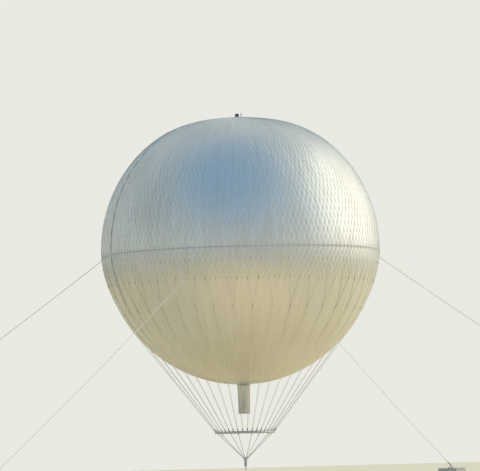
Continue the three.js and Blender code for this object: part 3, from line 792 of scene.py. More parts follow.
def net_quarter(start):
    """The cords, seizings and knots of a quarter of the net."""
    cords, seizings, knots = [], [], []
    for row in range(NET_ROWS):
        low = NET_EDGE + row * ROW
        shift = (row + 1) % 2 / 2
        for mesh in range(-1, QUARTER_MESHES + 2):
            azimuth = start + (mesh + shift) * MESH_WIDTH
            if start <= azimuth < start + 90:
                seizings.append(upright(NET_SEIZING, azimuth, low - SEIZING_REACH, low + SEIZING_REACH))
            for side in (-0.5, 0.5):
                if start <= azimuth + side * MESH_WIDTH / 2 < start + 90:
                    cords.append((NET_CORD, (azimuth, low), (azimuth + side * MESH_WIDTH, low + ROW)))
    for line in range(QUARTER_LINES):
        middle = start + (line + CROWN_LINE_SHIFT) * LINE_SPACING
        top = (middle, GATHERED_AGAIN)
        knots.append((2 * CROWN_CORD, top))
        cords.append(upright(CROWN_CORD, middle, GATHERED_AGAIN, CROWN_LINE_END))
        for side in (-1, 1):
            pair = (middle + side * MESH_WIDTH, GATHERED)
            knots.append((2 * GATHERED_CORD, pair))
            cords.append((GATHERED_CORD, pair, top))
            for leg in (-0.5, 0.5):
                foot = (middle + (side + leg) * MESH_WIDTH, NET_TOP)
                knots.append((FOOT_KNOT, foot))
                cords.append((NET_CORD, foot, pair))
    return cords, seizings, knots


net_cord = rope_finish("net_cord", (0.76, 0.76, 0.73), (0.56, 0.55, 0.51))
seizing_twine = rope_finish("seizing_twine", (0.74, 0.74, 0.70), (0.50, 0.49, 0.45))
cord_making = cord_maker()
knot_making = knot_maker()
for side, start in QUARTERS.items():
    net, seizings, knots = net_quarter(start)
    flat = flat_net(net, knots, NET_LIFT)
    cords = cord_making.makes("net_cords", net_cord, flat)
    knots = knot_making.makes("net_knots", net_cord, flat)
    seized = cord_making.makes("net_seizings", seizing_twine, flat_net(seizings, lift=NET_LIFT))
    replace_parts(joined(f"diamond_net_{side}", "net_rope", cords, knots, seized), f"net_{side}")

# Crow's feet and suspension lines
# The net goes on under the belt for five rows of smaller meshes, down to a border cord. Stronger pale cords
# over it are gathered two by two, twice, into forty lines of laid rope, and bound with tarred twine.
BELT_FOOT = -0.7
SMALL_FEET = BELT_FEET - LOW_ROW
LOW_CORD = 0.0026
LEG = 0.0065
SMALL_LEG = 0.0045
LOW_SEIZING = (0.005, 0.35, 0.35)  # radius, and degrees above and below the knot, as the next three
LINE_BINDING = (0.0115, 0.7, 1.1)
FOOT_BINDING = (0.0085, 0.4, 0.9)
TOE_BINDING = (0.006, 0.3, 0.55)
LINE_RADIUS = 0.009
LINE_STEP = 1.5  # degrees
LINE_STEPS = 7
LINE_LEAVES = LINE_HEAD - LINE_STEPS * LINE_STEP
RING_RADIUS = 1.15
RING_HEIGHT = 2.1
STRAP_REACH = 0.075


def bound(azimuth, latitude, radius, above, below):
    return upright(radius, azimuth, latitude + above, latitude - below)


def low_meshes(start):
    """The cords and seizings of a quarter of the net below the belt, with its border cord."""
    cords, seizings = [], []
    for row in range(LOW_ROWS + 1):
        latitude = BELT_FEET - row * LOW_ROW
        above = latitude + LOW_ROW if row else BELT_FOOT
        for mesh in range(-2, QUARTER_MESHES - 2):
            knot = start + (mesh + row % 2 / 2) * MESH_WIDTH
            seizings.append(bound(knot, latitude, *LOW_SEIZING))
            for side in (-0.5, 0.5):
                cords.append((LOW_CORD, (knot, latitude), (knot + side * MESH_WIDTH, above)))
                if row == LOW_ROWS:
                    cords.append((NET_CORD, (knot, latitude), (knot + side * MESH_WIDTH, latitude)))
    return cords, seizings


def crows_feet(start):
    """The cords and bindings that one quarter's ten lines gather."""
    cords, bindings = [], []
    for line in range(QUARTER_LINES):
        middle = start + line * LINE_SPACING
        bindings.append(bound(middle, LINE_HEAD, *LINE_BINDING))
        for side in (-1, 1):
            foot = middle + side * MESH_WIDTH
            bindings.append(bound(foot, FEET, *FOOT_BINDING))
            cords.append((LEG, (middle, LINE_HEAD), (foot, FEET)))
            for leg in (-0.5, 0.5):
                toe = foot + leg * MESH_WIDTH
                bindings.append(bound(toe, SMALL_FEET, *TOE_BINDING))
                cords.append((SMALL_LEG, (foot, FEET), (toe, SMALL_FEET)))
    return cords, bindings


def rope_maker():
    """A laid rope along a path. Its strands show as grooves that wind round it once in each lay."""
    making = Making("laid_rope", radius=0.01, lay=0.1, step=0.02, strands=3, points=6)
    curve = making.node("GeometryNodeMeshToCurve", {"Mesh": making.size("Geometry")})
    sockets = {"Curve": curve, "Length": making.size("step")}
    curve = making.node("GeometryNodeResampleCurve", sockets, mode="LENGTH")
    along = making.node("GeometryNodeSplineParameter", out="Length")
    twist = along / making.size("lay") * (2 * math.pi)
    curve = making.node("GeometryNodeSetCurveTilt", {"Curve": curve, "Tilt": twist})
    sockets = {"Resolution": making.size("points"), "Radius": making.size("radius")}
    section = making.node("GeometryNodeCurvePrimitiveCircle", sockets)
    index = making.node("GeometryNodeInputIndex")
    groove = index.does("MODULO", making.size("points") / making.size("strands")) < 0.5
    sockets = {0: making.node("GeometryNodeInputPosition"), "Scale": 1.0 - groove * 0.22}
    section = making.moved_to(section, making.node("ShaderNodeVectorMath", sockets, operation="SCALE"))
    sockets = {"Curve": curve, "Profile Curve": section, "Fill Caps": True}
    making.ends_with(making.node("GeometryNodeCurveToMesh", sockets))
    return making


def laid_rope(name, material, paths, **sizes):
    verts, edges = [], []
    for path in paths:
        edges += [(len(verts) + i, len(verts) + i + 1) for i in range(len(path) - 1)]
        verts += path
    mesh = bpy.data.meshes.new(name)
    mesh.from_pydata(verts, edges, [])
    return rope_making.makes(name, material, mesh, **sizes)


def line_path(azimuth):
    """A suspension line, from its crow's foot down the skin, and then straight to its strap on the ring."""
    path = [skin_point(azimuth, LINE_HEAD - i * LINE_STEP, LINE_RADIUS) for i in range(LINE_STEPS + 1)]
    path.append(compass(azimuth, RING_RADIUS, RING_HEIGHT) + STRAP_REACH * towards(azimuth, line_slope))
    return path


feet_cord = rope_finish("feet_cord", (0.86, 0.85, 0.78), (0.66, 0.64, 0.57))
tarred_twine = rope_finish("tarred_twine", (0.58, 0.56, 0.49), (0.07, 0.065, 0.05), clean=0.45)
line_rope = rope_finish("suspension_rope", (0.88, 0.86, 0.78), (0.70, 0.67, 0.58), 0.003)
rope_making = rope_maker()
leave = skin_point(0, LINE_LEAVES, LINE_RADIUS)
line_slope = math.degrees(math.atan2(leave.z - RING_HEIGHT, -leave.y - RING_RADIUS))
for side, start in QUARTERS.items():
    cords, seizings = low_meshes(start)
    meshes = cord_making.makes("low_cords", net_cord, flat_net(cords))
    seized = cord_making.makes("low_seizings", seizing_twine, flat_net(seizings))
    cords, bindings = crows_feet(start)
    feet = cord_making.makes("feet_cords", feet_cord, flat_net(cords), sides=6)
    twine = cord_making.makes("feet_bindings", tarred_twine, flat_net(bindings), sides=8)
    paths = [line_path(start + line * LINE_SPACING) for line in range(QUARTER_LINES)]
    lines = laid_rope("lines", line_rope, paths, radius=LINE_RADIUS, lay=0.12, step=0.03)
    lines = joined(f"suspension_net_{side}", "net_rope", lines, feet, twine, meshes, seized)
    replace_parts(lines, f"suspension_lines_{side}")

# Load ring and bridle
# A hoop of welded and galvanised steel tube. The forty suspension lines end at straps on it, and eight wire
# ropes gather its pull below into one collar.
RING_TUBE = 0.040
RING_WELDS = 8
STRAP_CHEEK = (0.005, 0.032, 0.060)
FORK_CHEEK = (0.006, 0.028, 0.075)
FORK_REACH = 0.060
COLLAR_RADIUS = 0.075
COLLAR_BOTTOM = 0.9755
COLLAR_TOP = 1.0655
BRIDLE_WIRES = 8
BRIDLE_RADIUS = 0.010


def moved(x, y, z):
    return Matrix.Translation((x, y, z))


def spun(angle, axis="Z"):
    """A turn, in degrees, about an axis."""
    return Matrix.Rotation(math.radians(angle), 4, axis)


def steel_finish(name, pale, dark, rust):
    """Hot-dip zinc in dull crystals, with white bloom and a little rust in the damp places."""
    paint = Finish(name)
    spangle = paint.split(paint.cells(70.0, "Color"))[0]
    bloom = paint.noise(9.0, 6.0, 0.65)
    colour = paint.mix(spangle * 0.5 + bloom * 0.5, pale, dark)
    spots = paint.eased(paint.noise(23.0, 6.0, 0.7), 0.66, 0.74) * rust
    colour = paint.mix(spots, colour, (0.26, 0.13, 0.06))
    roughness = 0.36 + spangle * 0.12 + bloom * 0.18 + spots * 0.3
    relief = paint.bump(bloom, 0.0006, paint.bump(spangle, 0.0002))
    return paint.surface(colour, roughness, relief, metallic=0.85 - spots * 0.6)


def mm(*points):
    """Points of a profile that is given in millimetres."""
    return [(across / 1000, up / 1000) for across, up in points]


galvanised = steel_finish("galvanised_steel", (0.62, 0.64, 0.64), (0.42, 0.44, 0.45), 0.7)
zinc = (galvanised, "galvanised_steel")
wire = steel_finish("wire_rope", (0.50, 0.52, 0.53), (0.30, 0.31, 0.32), 0.9)

hoop = Shape().hoop(RING_RADIUS, RING_TUBE, 24, 160, moved(0, 0, RING_HEIGHT))
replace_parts(hoop.piece("load_hoop", *zinc), "load_ring")
at_ring = moved(0, -RING_RADIUS, RING_HEIGHT)
across_ring = at_ring @ spun(90, "Y")
bead = mm((39, -4), (42, -2), (42, 2), (39, 4))
around_axis("hoop_welds", Shape().turned(bead, 24, True, across_ring), *zinc, RING_WELDS, 180 / RING_WELDS)

strap = Shape().band(RING_TUBE + 0.0002, RING_TUBE + 0.0042, -0.014, 0.014, 24, across_ring)
lean = at_ring @ spun(90 - line_slope, "X")
at_strap_pin = lean @ moved(0, 0, STRAP_REACH)
for offset in (-0.013, 0.013):
    strap.box(STRAP_CHEEK, lean @ moved(offset, 0, 0.066))
strap.tube([at_strap_pin @ Vector((x, 0, 0)) for x in (-0.022, 0.022)], 0.007, 8)
strap.band(0.0085, 0.016, -0.008, 0.008, 12, at_strap_pin @ spun(90, "Y"))
around_axis("hoop_straps", strap, *zinc, LINES_ROUND)
whipping = Shape().turned(mm((0, 20), (12.5, 20), (12.5, 110), (0, 110)), 10, at=at_strap_pin)
around_axis("line_whippings", whipping, tarred_twine, "net_rope", LINES_ROUND)

bridle_root = Vector((0, -COLLAR_RADIUS + 0.02, COLLAR_TOP - 0.01))
bridle_head = Vector((0, -RING_RADIUS, RING_HEIGHT))
bridle_down = (bridle_root - bridle_head).normalized()
along_bridle = bridle_down.to_track_quat("Z", "X").to_matrix().to_4x4()
down_bridle = at_ring @ along_bridle
socket_profile = mm((0, 90), (14, 90), (18, 100), (18, 170), (12, 200), (0, 200))
fork = Shape().turned(socket_profile, 16, at=down_bridle)
for offset in (-0.012, 0.012):
    fork.box(FORK_CHEEK, down_bridle @ moved(0, offset, 0.065) @ spun(90))
fork.tube([down_bridle @ Vector((0, y, FORK_REACH)) for y in (-0.022, 0.022)], 0.008, 10)
around_axis("bridle_forks", fork, *zinc, BRIDLE_WIRES)

wires = []
for i in range(BRIDLE_WIRES):
    turn = spun(i * 360 / BRIDLE_WIRES)
    wires.append([turn @ (bridle_head + bridle_down * 0.19), turn @ bridle_root])
wire_sizes = {"step": 0.012, "strands": 6, "points": 12}
bridle_wires = laid_rope("bridle_wires", wire, wires, radius=BRIDLE_RADIUS, lay=0.09, **wire_sizes)
collar_profile = mm((0, 0), (70, 0), (75, 5), (75, 30), (68, 36), (68, 56), (75, 62), (75, 85), (70, 90))
collar_profile += mm((0, 90))
collar = Shape().turned(collar_profile, 64, at=moved(0, 0, COLLAR_BOTTOM)).piece("bridle_collar", *zinc)
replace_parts(joined("bridle", "steel_wire", bridle_wires, collar), "bridle_cables")
socket_profile = mm((0, -110), (13, -110), (18, -70), (18, 0), (0, 0))
socket = Shape().turned(socket_profile, 16, at=Matrix.Translation(bridle_root) @ along_bridle)
around_axis("collar_sockets", socket, *zinc, BRIDLE_WIRES)

# Crown
# A round fabric panel closes the top, under the ring that the net is lashed to. The gas valve stands on a
# bolted flange in the middle, with the marker light on its post beside it.
CROWN_TOP = skin_point(0, 90).z
CROWN_RING = 0.5475
CROWN_TUBE = 0.0175
LIGHT_AZIMUTH = 76
LIGHT_DISTANCE = 0.165
VALVE_SEAT = CROWN_TOP + 0.0005
FLANGE_THICKNESS = 0.025
VALVE_STAYS = 12
VALVE_BOLTS = 16
VALVE_BOLT_CIRCLE = 0.190
PANEL_TOP = 0.001
PANEL_UNDERSIDE = -0.004
PATCH_RADII = (0.52, 0.30)
PATCH_WIDTH = 0.03
PATCH_TOP = 0.0035


def crown_height(distance):
    """Height of the skin near the crown at a distance from the axis."""
    return skin_point(0, 90 - math.degrees(distance / BALL_RADIUS)).z


def paint_finish(name, tint, worn, gloss):
    """Satin paint, chalky on top and rubbed thin in places."""
    paint = Finish(name)
    rubbed = paint.eased(paint.noise(60.0, 5.0, 0.65), 0.58, 0.72)
    chalk = paint.noise(12.0, 4.0, 0.6)
    colour = paint.mix(rubbed * 0.8, paint.mix(chalk * 0.4, tint, worn), worn)
    return paint.surface(colour, gloss + chalk * 0.2, paint.bump(rubbed, 0.0004), metallic=0.1)


def alloy_finish():
    """Mill-finished alloy with fine drawn lines and dull grey film."""
    paint = Finish("drawn_alloy")
    film = paint.noise(14.0, 5.0, 0.6)
    stretched = paint.node("ShaderNodeVectorMath", {0: paint.place, 1: (1, 1, 40)}, operation="MULTIPLY")
    drawn = paint.noise(30.0, at=stretched)
    colour = paint.mix(film, (0.70, 0.71, 0.71), (0.50, 0.51, 0.51))
    return paint.surface(colour, 0.30 + drawn * 0.12 + film * 0.15, paint.bump(drawn, 0.0002), metallic=0.9)


panel_radius = -skin_point(0, CROWN_LATITUDE).y
panel_steps = [panel_radius * i / 8 for i in range(8, -1, -1)]
top_side = [(r, crown_height(r) + PANEL_TOP) for r in panel_steps]
under_side = [(r, crown_height(r) + PANEL_UNDERSIDE) for r in reversed(panel_steps)]
crown_cloth = tape_finish("crown_cloth", (0.72, 0.72, 0.69), 0.38)
top_panel = Shape().turned(under_side + top_side, 96).piece("crown_cloth_panel", crown_cloth, "silver_fabric")
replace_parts(top_panel, "crown_panel")
patches = Shape()
for radius in PATCH_RADII:
    outer = radius + PATCH_WIDTH
    rows = [(radius, PANEL_TOP), (outer, PANEL_TOP), (outer, PATCH_TOP), (radius, PATCH_TOP)]
    patches.turned([(r, crown_height(r) + h) for r, h in rows], 96, ring=True)
patches.piece("crown_reinforcement", pale_tape, "silver_fabric")

alloy = alloy_finish()
ring_z = crown_height(CROWN_RING) + CROWN_TUBE + 0.0015
crown_ring = Shape().hoop(CROWN_RING, CROWN_TUBE, 16, 120, moved(0, 0, ring_z))
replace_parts(crown_ring.piece("crown_ring_tube", alloy, "alloy"), "net_crown_ring")
lashing = Shape()
for offset in (-9, 0, 9):
    wrap = mm((17, offset - 4), (22, offset - 3), (22, offset + 3), (17, offset + 4))
    lashing.turned(wrap, 12, True, moved(0, -CROWN_RING, ring_z) @ spun(90, "Y"))
first = CROWN_LINE_SHIFT * LINE_SPACING
around_axis("crown_ring_lashings", lashing, net_cord, "net_rope", LINES_ROUND, first)

dark_paint = paint_finish("dark_valve_paint", (0.12, 0.13, 0.13), (0.34, 0.35, 0.34), 0.32)
valve_profile = mm((0, 0), (206, 0), (210, 4), (210, 20), (205, 25), (92, 25), (88, 32), (74, 40), (74, 100))
valve_profile += mm((68, 104), (68, 140), (74, 144), (74, 176), (79, 180), (79, 194), (68, 206), (40, 213))
valve_profile += mm((0, 214.5))
valve = Shape().turned(valve_profile, 64, at=moved(0, 0, VALVE_SEAT))
for i in range(VALVE_STAYS):
    valve.box((0.006, 0.006, 0.136), spun(i * 360 / VALVE_STAYS) @ moved(0, -0.0765, VALVE_SEAT + 0.108))
valve = valve.piece("gas_valve", dark_paint, "dark_valve")
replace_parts(valve, "crown_gas_valve")
bolt_profile = mm((0, 0), (11, 0), (11, 2), (8, 2), (8, 9), (7, 10), (0, 10))
bolt_at = moved(0, -VALVE_BOLT_CIRCLE, VALVE_SEAT + FLANGE_THICKNESS - 0.0005)
bolt = Shape().turned(bolt_profile, 6, at=bolt_at)
around_axis("valve_bolts", bolt, *zinc, VALVE_BOLTS, 180 / VALVE_BOLTS)

lamp_at = Matrix.Translation(compass(LIGHT_AZIMUTH, LIGHT_DISTANCE, VALVE_SEAT + FLANGE_THICKNESS))
post_profile = mm((0, 0), (26, 0), (26, 6), (17, 10), (15, 14), (15, 160), (18, 164), (21.5, 168))
post_profile += mm((21.5, 176), (0, 176))
post = Shape().turned(post_profile, 24, at=lamp_at)
for i in range(3):
    post.box((0.003, 0.012, 0.016), lamp_at @ spun(i * 120) @ moved(0, -0.018, 0.014))
lens_profile = mm((0, 174), (19, 176), (19, 199), (15, 205), (8, 208.5), (0, 209.5))
lens_paint = paint_finish("frosted_lens", (0.46, 0.47, 0.46), (0.34, 0.34, 0.33), 0.2)
housing = paint_finish("grey_housing", (0.20, 0.20, 0.19), (0.34, 0.34, 0.32), 0.4)
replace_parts(post.piece("light_post", housing, "light_housing"), "crown_marker_light")
Shape().turned(lens_profile, 24, at=lamp_at).piece("light_lens", lens_paint, "light_housing")

# Neck and filling sleeve
# A stiff alloy ring closes the bottom of the envelope. The open filling sleeve, a tube of matt cloth with a
# hem, is clamped round the ring's collar and hangs from it in soft folds.
DISH = skin_point(0, -88).z
COLLAR_END = DISH - 0.08
SLEEVE_TOP = DISH - 0.002
SLEEVE_DROP = 1.15
SLEEVE_MEAN = 0.240
SLEEVE_RADIUS = 0.2565
SLEEVE_NARROWING = 0.038
SLEEVE_ROWS = 30
SLEEVE_COLUMNS = 144
RIM_THICKNESS = 0.014
RIM_BOLTS = 48
NECK_BORE = 0.225
NECK_OUTSIDE = 0.25
CLAMP_DROPS = (0.018, 0.052)
CLAMP_WIDTH = 0.012


def neck_point(latitude, lift=0.0):
    place = skin_point(0, latitude, lift)
    return -place.y, place.z


def sleeve_row(share):
    """The folds deepen down the sleeve, and its mouth is a little narrower than its top."""
    row = []
    depth = 0.004 * min(1, 12 * share) + 0.013 * share
    for column in range(SLEEVE_COLUMNS):
        turn = column * 360 / SLEEVE_COLUMNS
        wide_fold = math.cos(math.radians(7 * turn + 25 * share))
        narrow_fold = 0.6 * math.cos(math.radians(12 * turn + 150 * share))
        radius = SLEEVE_RADIUS - SLEEVE_NARROWING * share + depth * (wide_fold + narrow_fold) / 1.6
        row.append(compass(turn, radius, SLEEVE_TOP - SLEEVE_DROP * share))
    return row


def cloth_finish(name, tint, soil_tint):
    """Matt cloth in plain weave, soiled towards the bottom."""
    paint = Finish(name)
    x, y, z = paint.split(paint.place)
    around = x.does("ARCTAN2", y) * SLEEVE_MEAN
    weave = around.waves(0.004) * z.waves(0.004)
    soil = paint.noise(5.0, 5.0, 0.6) * paint.eased(z, DISH, DISH - SLEEVE_DROP)
    colour = paint.mix(soil, tint, soil_tint)
    return paint.surface(colour, 0.82 + soil * 0.1, paint.bump(weave, 0.0005))


rim_radius, rim_z = neck_point(-80.005)
neck_profile = [(NECK_BORE, DISH + 0.03), (NECK_BORE, COLLAR_END), (NECK_OUTSIDE, COLLAR_END)]
neck_profile += [(NECK_OUTSIDE, DISH), (NECK_OUTSIDE + 0.012, DISH + 0.004)]
neck_profile += [neck_point(latitude) for latitude in (-86, -84, -82)]
neck_profile += [(rim_radius, rim_z), (rim_radius - 0.002, rim_z + RIM_THICKNESS)]
neck_profile += [neck_point(latitude, -RIM_THICKNESS) for latitude in (-82, -84, -86)]
neck = Shape().turned(neck_profile, 120, ring=True).piece("neck_collar", alloy, "alloy", sharp=40)
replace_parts(neck, "neck_ring")
bolt_at = Matrix.Translation(skin_point(0, -81.2)) @ spun(-9, "X")
rim_bolt = Shape().turned(mm((0, -7), (7, -7), (7, 0), (0, 0)), 6, at=bolt_at)
around_axis("neck_bolts", rim_bolt, *zinc, RIM_BOLTS)

sleeve_cloth = cloth_finish("sleeve_cloth", (0.68, 0.67, 0.61), (0.40, 0.37, 0.30))
sleeve = Shape()
sleeve.rows([sleeve_row(row / SLEEVE_ROWS) for row in range(SLEEVE_ROWS, -1, -1)])
sleeve = sleeve.piece("hanging_sleeve", sleeve_cloth, "sleeve_fabric")
cloth = sleeve.modifiers.new("cloth", "SOLIDIFY")
cloth.thickness = 0.002
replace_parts(sleeve, "filling_sleeve")
hem = Shape()
hem_rows = []
for out, up in mm((-4, 0), (2, 0), (2, 28), (-4, 28)):
    hem_rows.append([p + p.xy.to_3d().normalized() * out + Vector((0, 0, up)) for p in sleeve_row(1)])
hem.rows(hem_rows, ring=True)
hem = hem.piece("sleeve_hem", sleeve_cloth, "sleeve_fabric")
clamp = Shape()
for drop in CLAMP_DROPS:
    top = SLEEVE_TOP - drop
    middle = top - CLAMP_WIDTH / 2
    clamp.band(0.2575, 0.2610, top - CLAMP_WIDTH, top, 96)
    clamp.box((0.030, 0.010, 0.016), moved(0, -0.2660, middle))
    clamp.tube([Vector((x, -0.2670, middle)) for x in (-0.030, 0.030)], 0.003, 8)
clamp = clamp.piece("sleeve_clamps", *zinc)

# Swivel, tether and pedestal
# The collar of the bridle turns on a forged swivel. A short wire rope joins it to a turned steel pedestal,
# which is stiffened with gussets and bolted to the block.
SWIVEL_BOTTOM = 0.765
SWIVEL_STUDS = 6
TETHER_RADIUS = 0.016
PEDESTAL_SEAT = 0.3255
PEDESTAL_TOP = 0.525
PEDESTAL_PLATE = 0.025
PEDESTAL_BOLTS = 12
PEDESTAL_BOLT_CIRCLE = 0.272
GUSSETS = 8


def anchor_bolt(washer, seat, nut, top, stud, end, at=Matrix()):
    """A washer up to its seat, a nut up to its top and the end of a stud out of it, in millimetres."""
    profile = mm((0, 0), (washer, 0), (washer, seat), (nut, seat), (nut, top), (stud, top + 2))
    return Shape().turned(profile + mm((stud, end), (0, end + 2)), 6, at=at)


swivel_profile = mm((0, 0), (30, 0), (52, 12), (65, 20), (65, 80), (60, 86), (60, 96), (65, 102), (65, 168))
swivel_profile += mm((56, 180), (50, 210), (0, 210))
swivel = Shape().turned(swivel_profile, 48, at=moved(0, 0, SWIVEL_BOTTOM))
for i in range(SWIVEL_STUDS):
    stud = spun(i * 360 / SWIVEL_STUDS) @ moved(0, -0.0645, SWIVEL_BOTTOM + 0.05) @ spun(90, "X")
    swivel.turned(mm((0, 0), (8, 0), (8, 4), (0, 4)), 6, at=stud)
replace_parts(swivel.piece("forged_swivel", *zinc), "tether_swivel")

path = [Vector((0, 0, PEDESTAL_TOP + 0.001)), Vector((0, 0, SWIVEL_BOTTOM - 0.001))]
tether = laid_rope("tether_wire", wire, [path], radius=TETHER_RADIUS, lay=0.12, **wire_sizes)
ends = Shape()
end_profile = mm((0, 0), (26, 0), (28, 6), (28, 40), (19, 70), (0, 70))
ends.turned(end_profile, 24, at=moved(0, 0, PEDESTAL_TOP + 0.0005))
ends.turned([(r, -h) for r, h in reversed(end_profile)], 24, at=moved(0, 0, SWIVEL_BOTTOM - 0.0005))
ends = ends.piece("tether_sockets", *zinc)
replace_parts(joined("tether_rope", "steel_wire", tether, ends), "tether_cable")

pedestal_profile = mm((0, 0), (306, 0), (310, 3), (310, 22), (306, 25), (115, 25), (108, 30), (62, 150))
pedestal_profile += mm((55, 160), (55, 194), (50, 199.5), (0, 199.5))
at_plate = moved(0, 0, PEDESTAL_SEAT)
pedestal = Shape().turned(pedestal_profile, 64, at=at_plate)
for i in range(GUSSETS):
    turn = at_plate @ spun(i * 360 / GUSSETS)
    outline = mm((85, 150), (230, 40), (230, 24.5), (60, 24.5), (60, 150))
    pedestal.capped([[turn @ Vector((x, -r, h)) for r, h in outline] for x in (-0.005, 0.005)])
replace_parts(pedestal.piece("steel_pedestal", *zinc), "tether_pedestal")
bolt_at = moved(0, -PEDESTAL_BOLT_CIRCLE, PEDESTAL_SEAT + PEDESTAL_PLATE - 0.0005)
foot_bolt = anchor_bolt(20, 4, 15, 20, 9, 42, bolt_at)
around_axis("pedestal_bolts", foot_bolt, *zinc, PEDESTAL_BOLTS, 180 / PEDESTAL_BOLTS)

# Concrete blocks
# The eight-sided centre block and the four square anchor blocks are cast in boarded forms, with chamfered
# edges. Four lifting loops of bent bar stand in the centre block.
BLOCK_TOP = 0.325
BOARD_WIDTH = 0.11
LIFTING_LOOP = 0.06
LOOPS_OUT = 0.85


def concrete_finish():
    """Board marks, air holes, and damp stains that rise from the foot."""
    paint = Finish("cast_concrete")
    z = paint.split(paint.place)[2]
    cloud = paint.noise(2.2, 6.0, 0.6)
    sand = paint.noise(140.0, 3.0, 0.6)
    board = paint.eased(abs((z / BOARD_WIDTH).does("FRACT") - 0.5), 0.46, 0.49)
    hole = paint.eased(paint.cells(34.0, "Distance"), 0.16, 0.08)
    damp = paint.eased(z + cloud * 0.12, 0.16, 0.03)
    colour = paint.mix(cloud * 0.8 + sand * 0.2, (0.52, 0.51, 0.47), (0.38, 0.37, 0.34))
    colour = paint.mix(damp * 0.55, colour, (0.20, 0.19, 0.16))
    colour = paint.mix(hole * 0.5 + board * 0.25, colour, (0.22, 0.21, 0.19))
    return paint.surface(colour, 0.88 - damp * 0.15, paint.bump(sand - hole - board, 0.002))


def dressed_copy(node, name, material, slot, bevel):
    """A copy of a solid whose shape is right, with its loose triangles merged and its edges rounded."""
    mesh = bmesh.new()
    mesh.from_mesh(frame["nodes"][node].data)
    bmesh.ops.remove_doubles(mesh, verts=mesh.verts, dist=1e-5)
    bmesh.ops.dissolve_limit(mesh, angle_limit=math.radians(1), verts=mesh.verts, edges=mesh.edges)
    shape = Shape()
    shape.mesh.free()
    shape.mesh = mesh
    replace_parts(shape.piece(name, material, slot, sharp=30, bevel=bevel), node)


def half_circle(radius):
    return [(radius * math.cos(t * math.pi / 8), radius * math.sin(t * math.pi / 8)) for t in range(9)]


concrete = concrete_finish()
dressed_copy("centre_anchor_block", "centre_block", concrete, "concrete", 0.018)
lift = Shape()
path = [Vector((x, -LOOPS_OUT, BLOCK_TOP - 0.01 + 1.5 * z)) for x, z in half_circle(LIFTING_LOOP)]
lift.tube(path, 0.009, 10)
around_axis("centre_lifting_loops", lift, *zinc, 4, 22.5)

# Moorings
# Each anchor block carries a bolted lug. An open turnbuckle is pinned to it, and a laid cream rope runs from
# its eye up to a served splice on the ball. Two legs go on from there to straps that are sewn on the belt.
ANCHOR_DISTANCE = 17.5
LUG_PIN_HEIGHT = 0.5355
PLATE_TOP = 0.4705
TURNBUCKLE_LENGTH = 0.3925
SAG = 0.225
LEG_LIFT = 0.018
LEG_AZIMUTHS = (9, 18)
LEG_TOP = -0.9
LEG_STEPS = 12
ROPE_STEPS = 40
STRAP_WIDTH = 0.046
LUG_BOLT_SPACING = 0.19
THREADS = 70
THREAD_PITCH = 0.0038
ROPE_RADIUS = 0.0155
LEG_RADIUS = 0.012
SERVING_RADIUS = 0.0175
MOORINGS = {"front_left": (-45, -11.0), "left": (-105, -1.6), "right": (75, -1.6), "back_right": (135, -11.0)}


def square_maker():
    """Repeats a shape at the corners of a square that is turned and moved to its place."""
    making = Making("in_a_square", spacing=0.2, turn=0.0, x=0.0, y=0.0, z=0.0)
    sockets = {0: making.size("spacing"), 1: making.size("spacing"), 2: 2, 3: 2}
    sockets = {
        "Geometry": making.node("GeometryNodeMeshGrid", sockets),
        "Translation": making.vector(making.size("x"), making.size("y"), making.size("z")),
        "Rotation": making.vector(0.0, 0.0, making.size("turn")),
    }
    corners = making.node("GeometryNodeTransform", sockets)
    making.ends_with(making.at_points(corners, making.size("Geometry")))
    return making


def set_along(place, level, ahead):
    """A local frame at a place, with its X axis along level and its Z axis ahead."""
    return Matrix.Translation(place) @ Matrix((level, ahead.cross(level), ahead)).transposed().to_4x4()


def turnbuckle(at):
    """An open turnbuckle, from the pin at the local origin up along the local Z axis."""
    made = Shape()
    made.tube([at @ Vector((x, 0, 0)) for x in (-0.046, 0.046)], 0.0135, 20)
    for side in (-1, 1):
        across = at @ moved(side * 0.041, 0, 0) @ spun(90, "Y")
        made.turned(mm((0, -5), (20, -5), (20, 5), (0, 5)), 6, at=across)
        outline = [(-0.019, 0.088), *[(y, -z) for y, z in reversed(half_circle(0.022))], (0.019, 0.088)]
        faces = (side * 0.0265 - 0.008, side * 0.0265 + 0.008)
        made.capped([[at @ Vector((x, y, z)) for y, z in outline] for x in faces])
    made.box((0.069, 0.038, 0.022), at @ moved(0, 0, 0.096))
    thread = [(0, 0.105)]
    for i in range(THREADS):
        z = 0.106 + i * THREAD_PITCH
        thread += [(0.0085, z), (0.0105, z + THREAD_PITCH / 2)]
    made.turned(thread + [(0, 0.373)], 16, at=at)
    boss = mm((0, 0), (20, 0), (26.5, 4), (26.5, 22), (20, 26), (0, 26))
    for foot in (0.128, 0.316):
        made.turned(boss, 24, at=at @ moved(0, 0, foot))
    for side in (-1, 1):
        made.box((0.010, 0.024, 0.170), at @ moved(0, side * 0.0205, 0.235) @ spun(90))
    return made


def belt_strap(made, azimuth, about):
    """A webbing strap that is sewn on the belt, and folded round the eye at the end of a leg."""
    out = compass(azimuth)
    at = about @ set_along(skin_point(azimuth, LEG_TOP, LEG_LIFT), Vector((-out.y, out.x, 0)), out)
    made.box((STRAP_WIDTH, 0.110, 0.004), at @ moved(0, 0.050, -0.0125))
    made.box((STRAP_WIDTH, 0.025, 0.004), at @ moved(0, 0.0075, 0.0140))
    made.box((STRAP_WIDTH, 0.004, 0.0305), at @ moved(0, -0.005, 0.00075))
    made.box((STRAP_WIDTH, 0.080, 0.004), at @ moved(0, 0.056, 0.0005) @ spun(-20, "X"))


def sagging(start, end):
    """Points of a rope that sags between two ends."""
    middle = (start + end) / 2 - Vector((0, 0, SAG))
    shares = [i / ROPE_STEPS for i in range(ROPE_STEPS + 1)]
    return [(1 - t) ** 2 * start + 2 * t * (1 - t) * middle + t * t * end for t in shares]


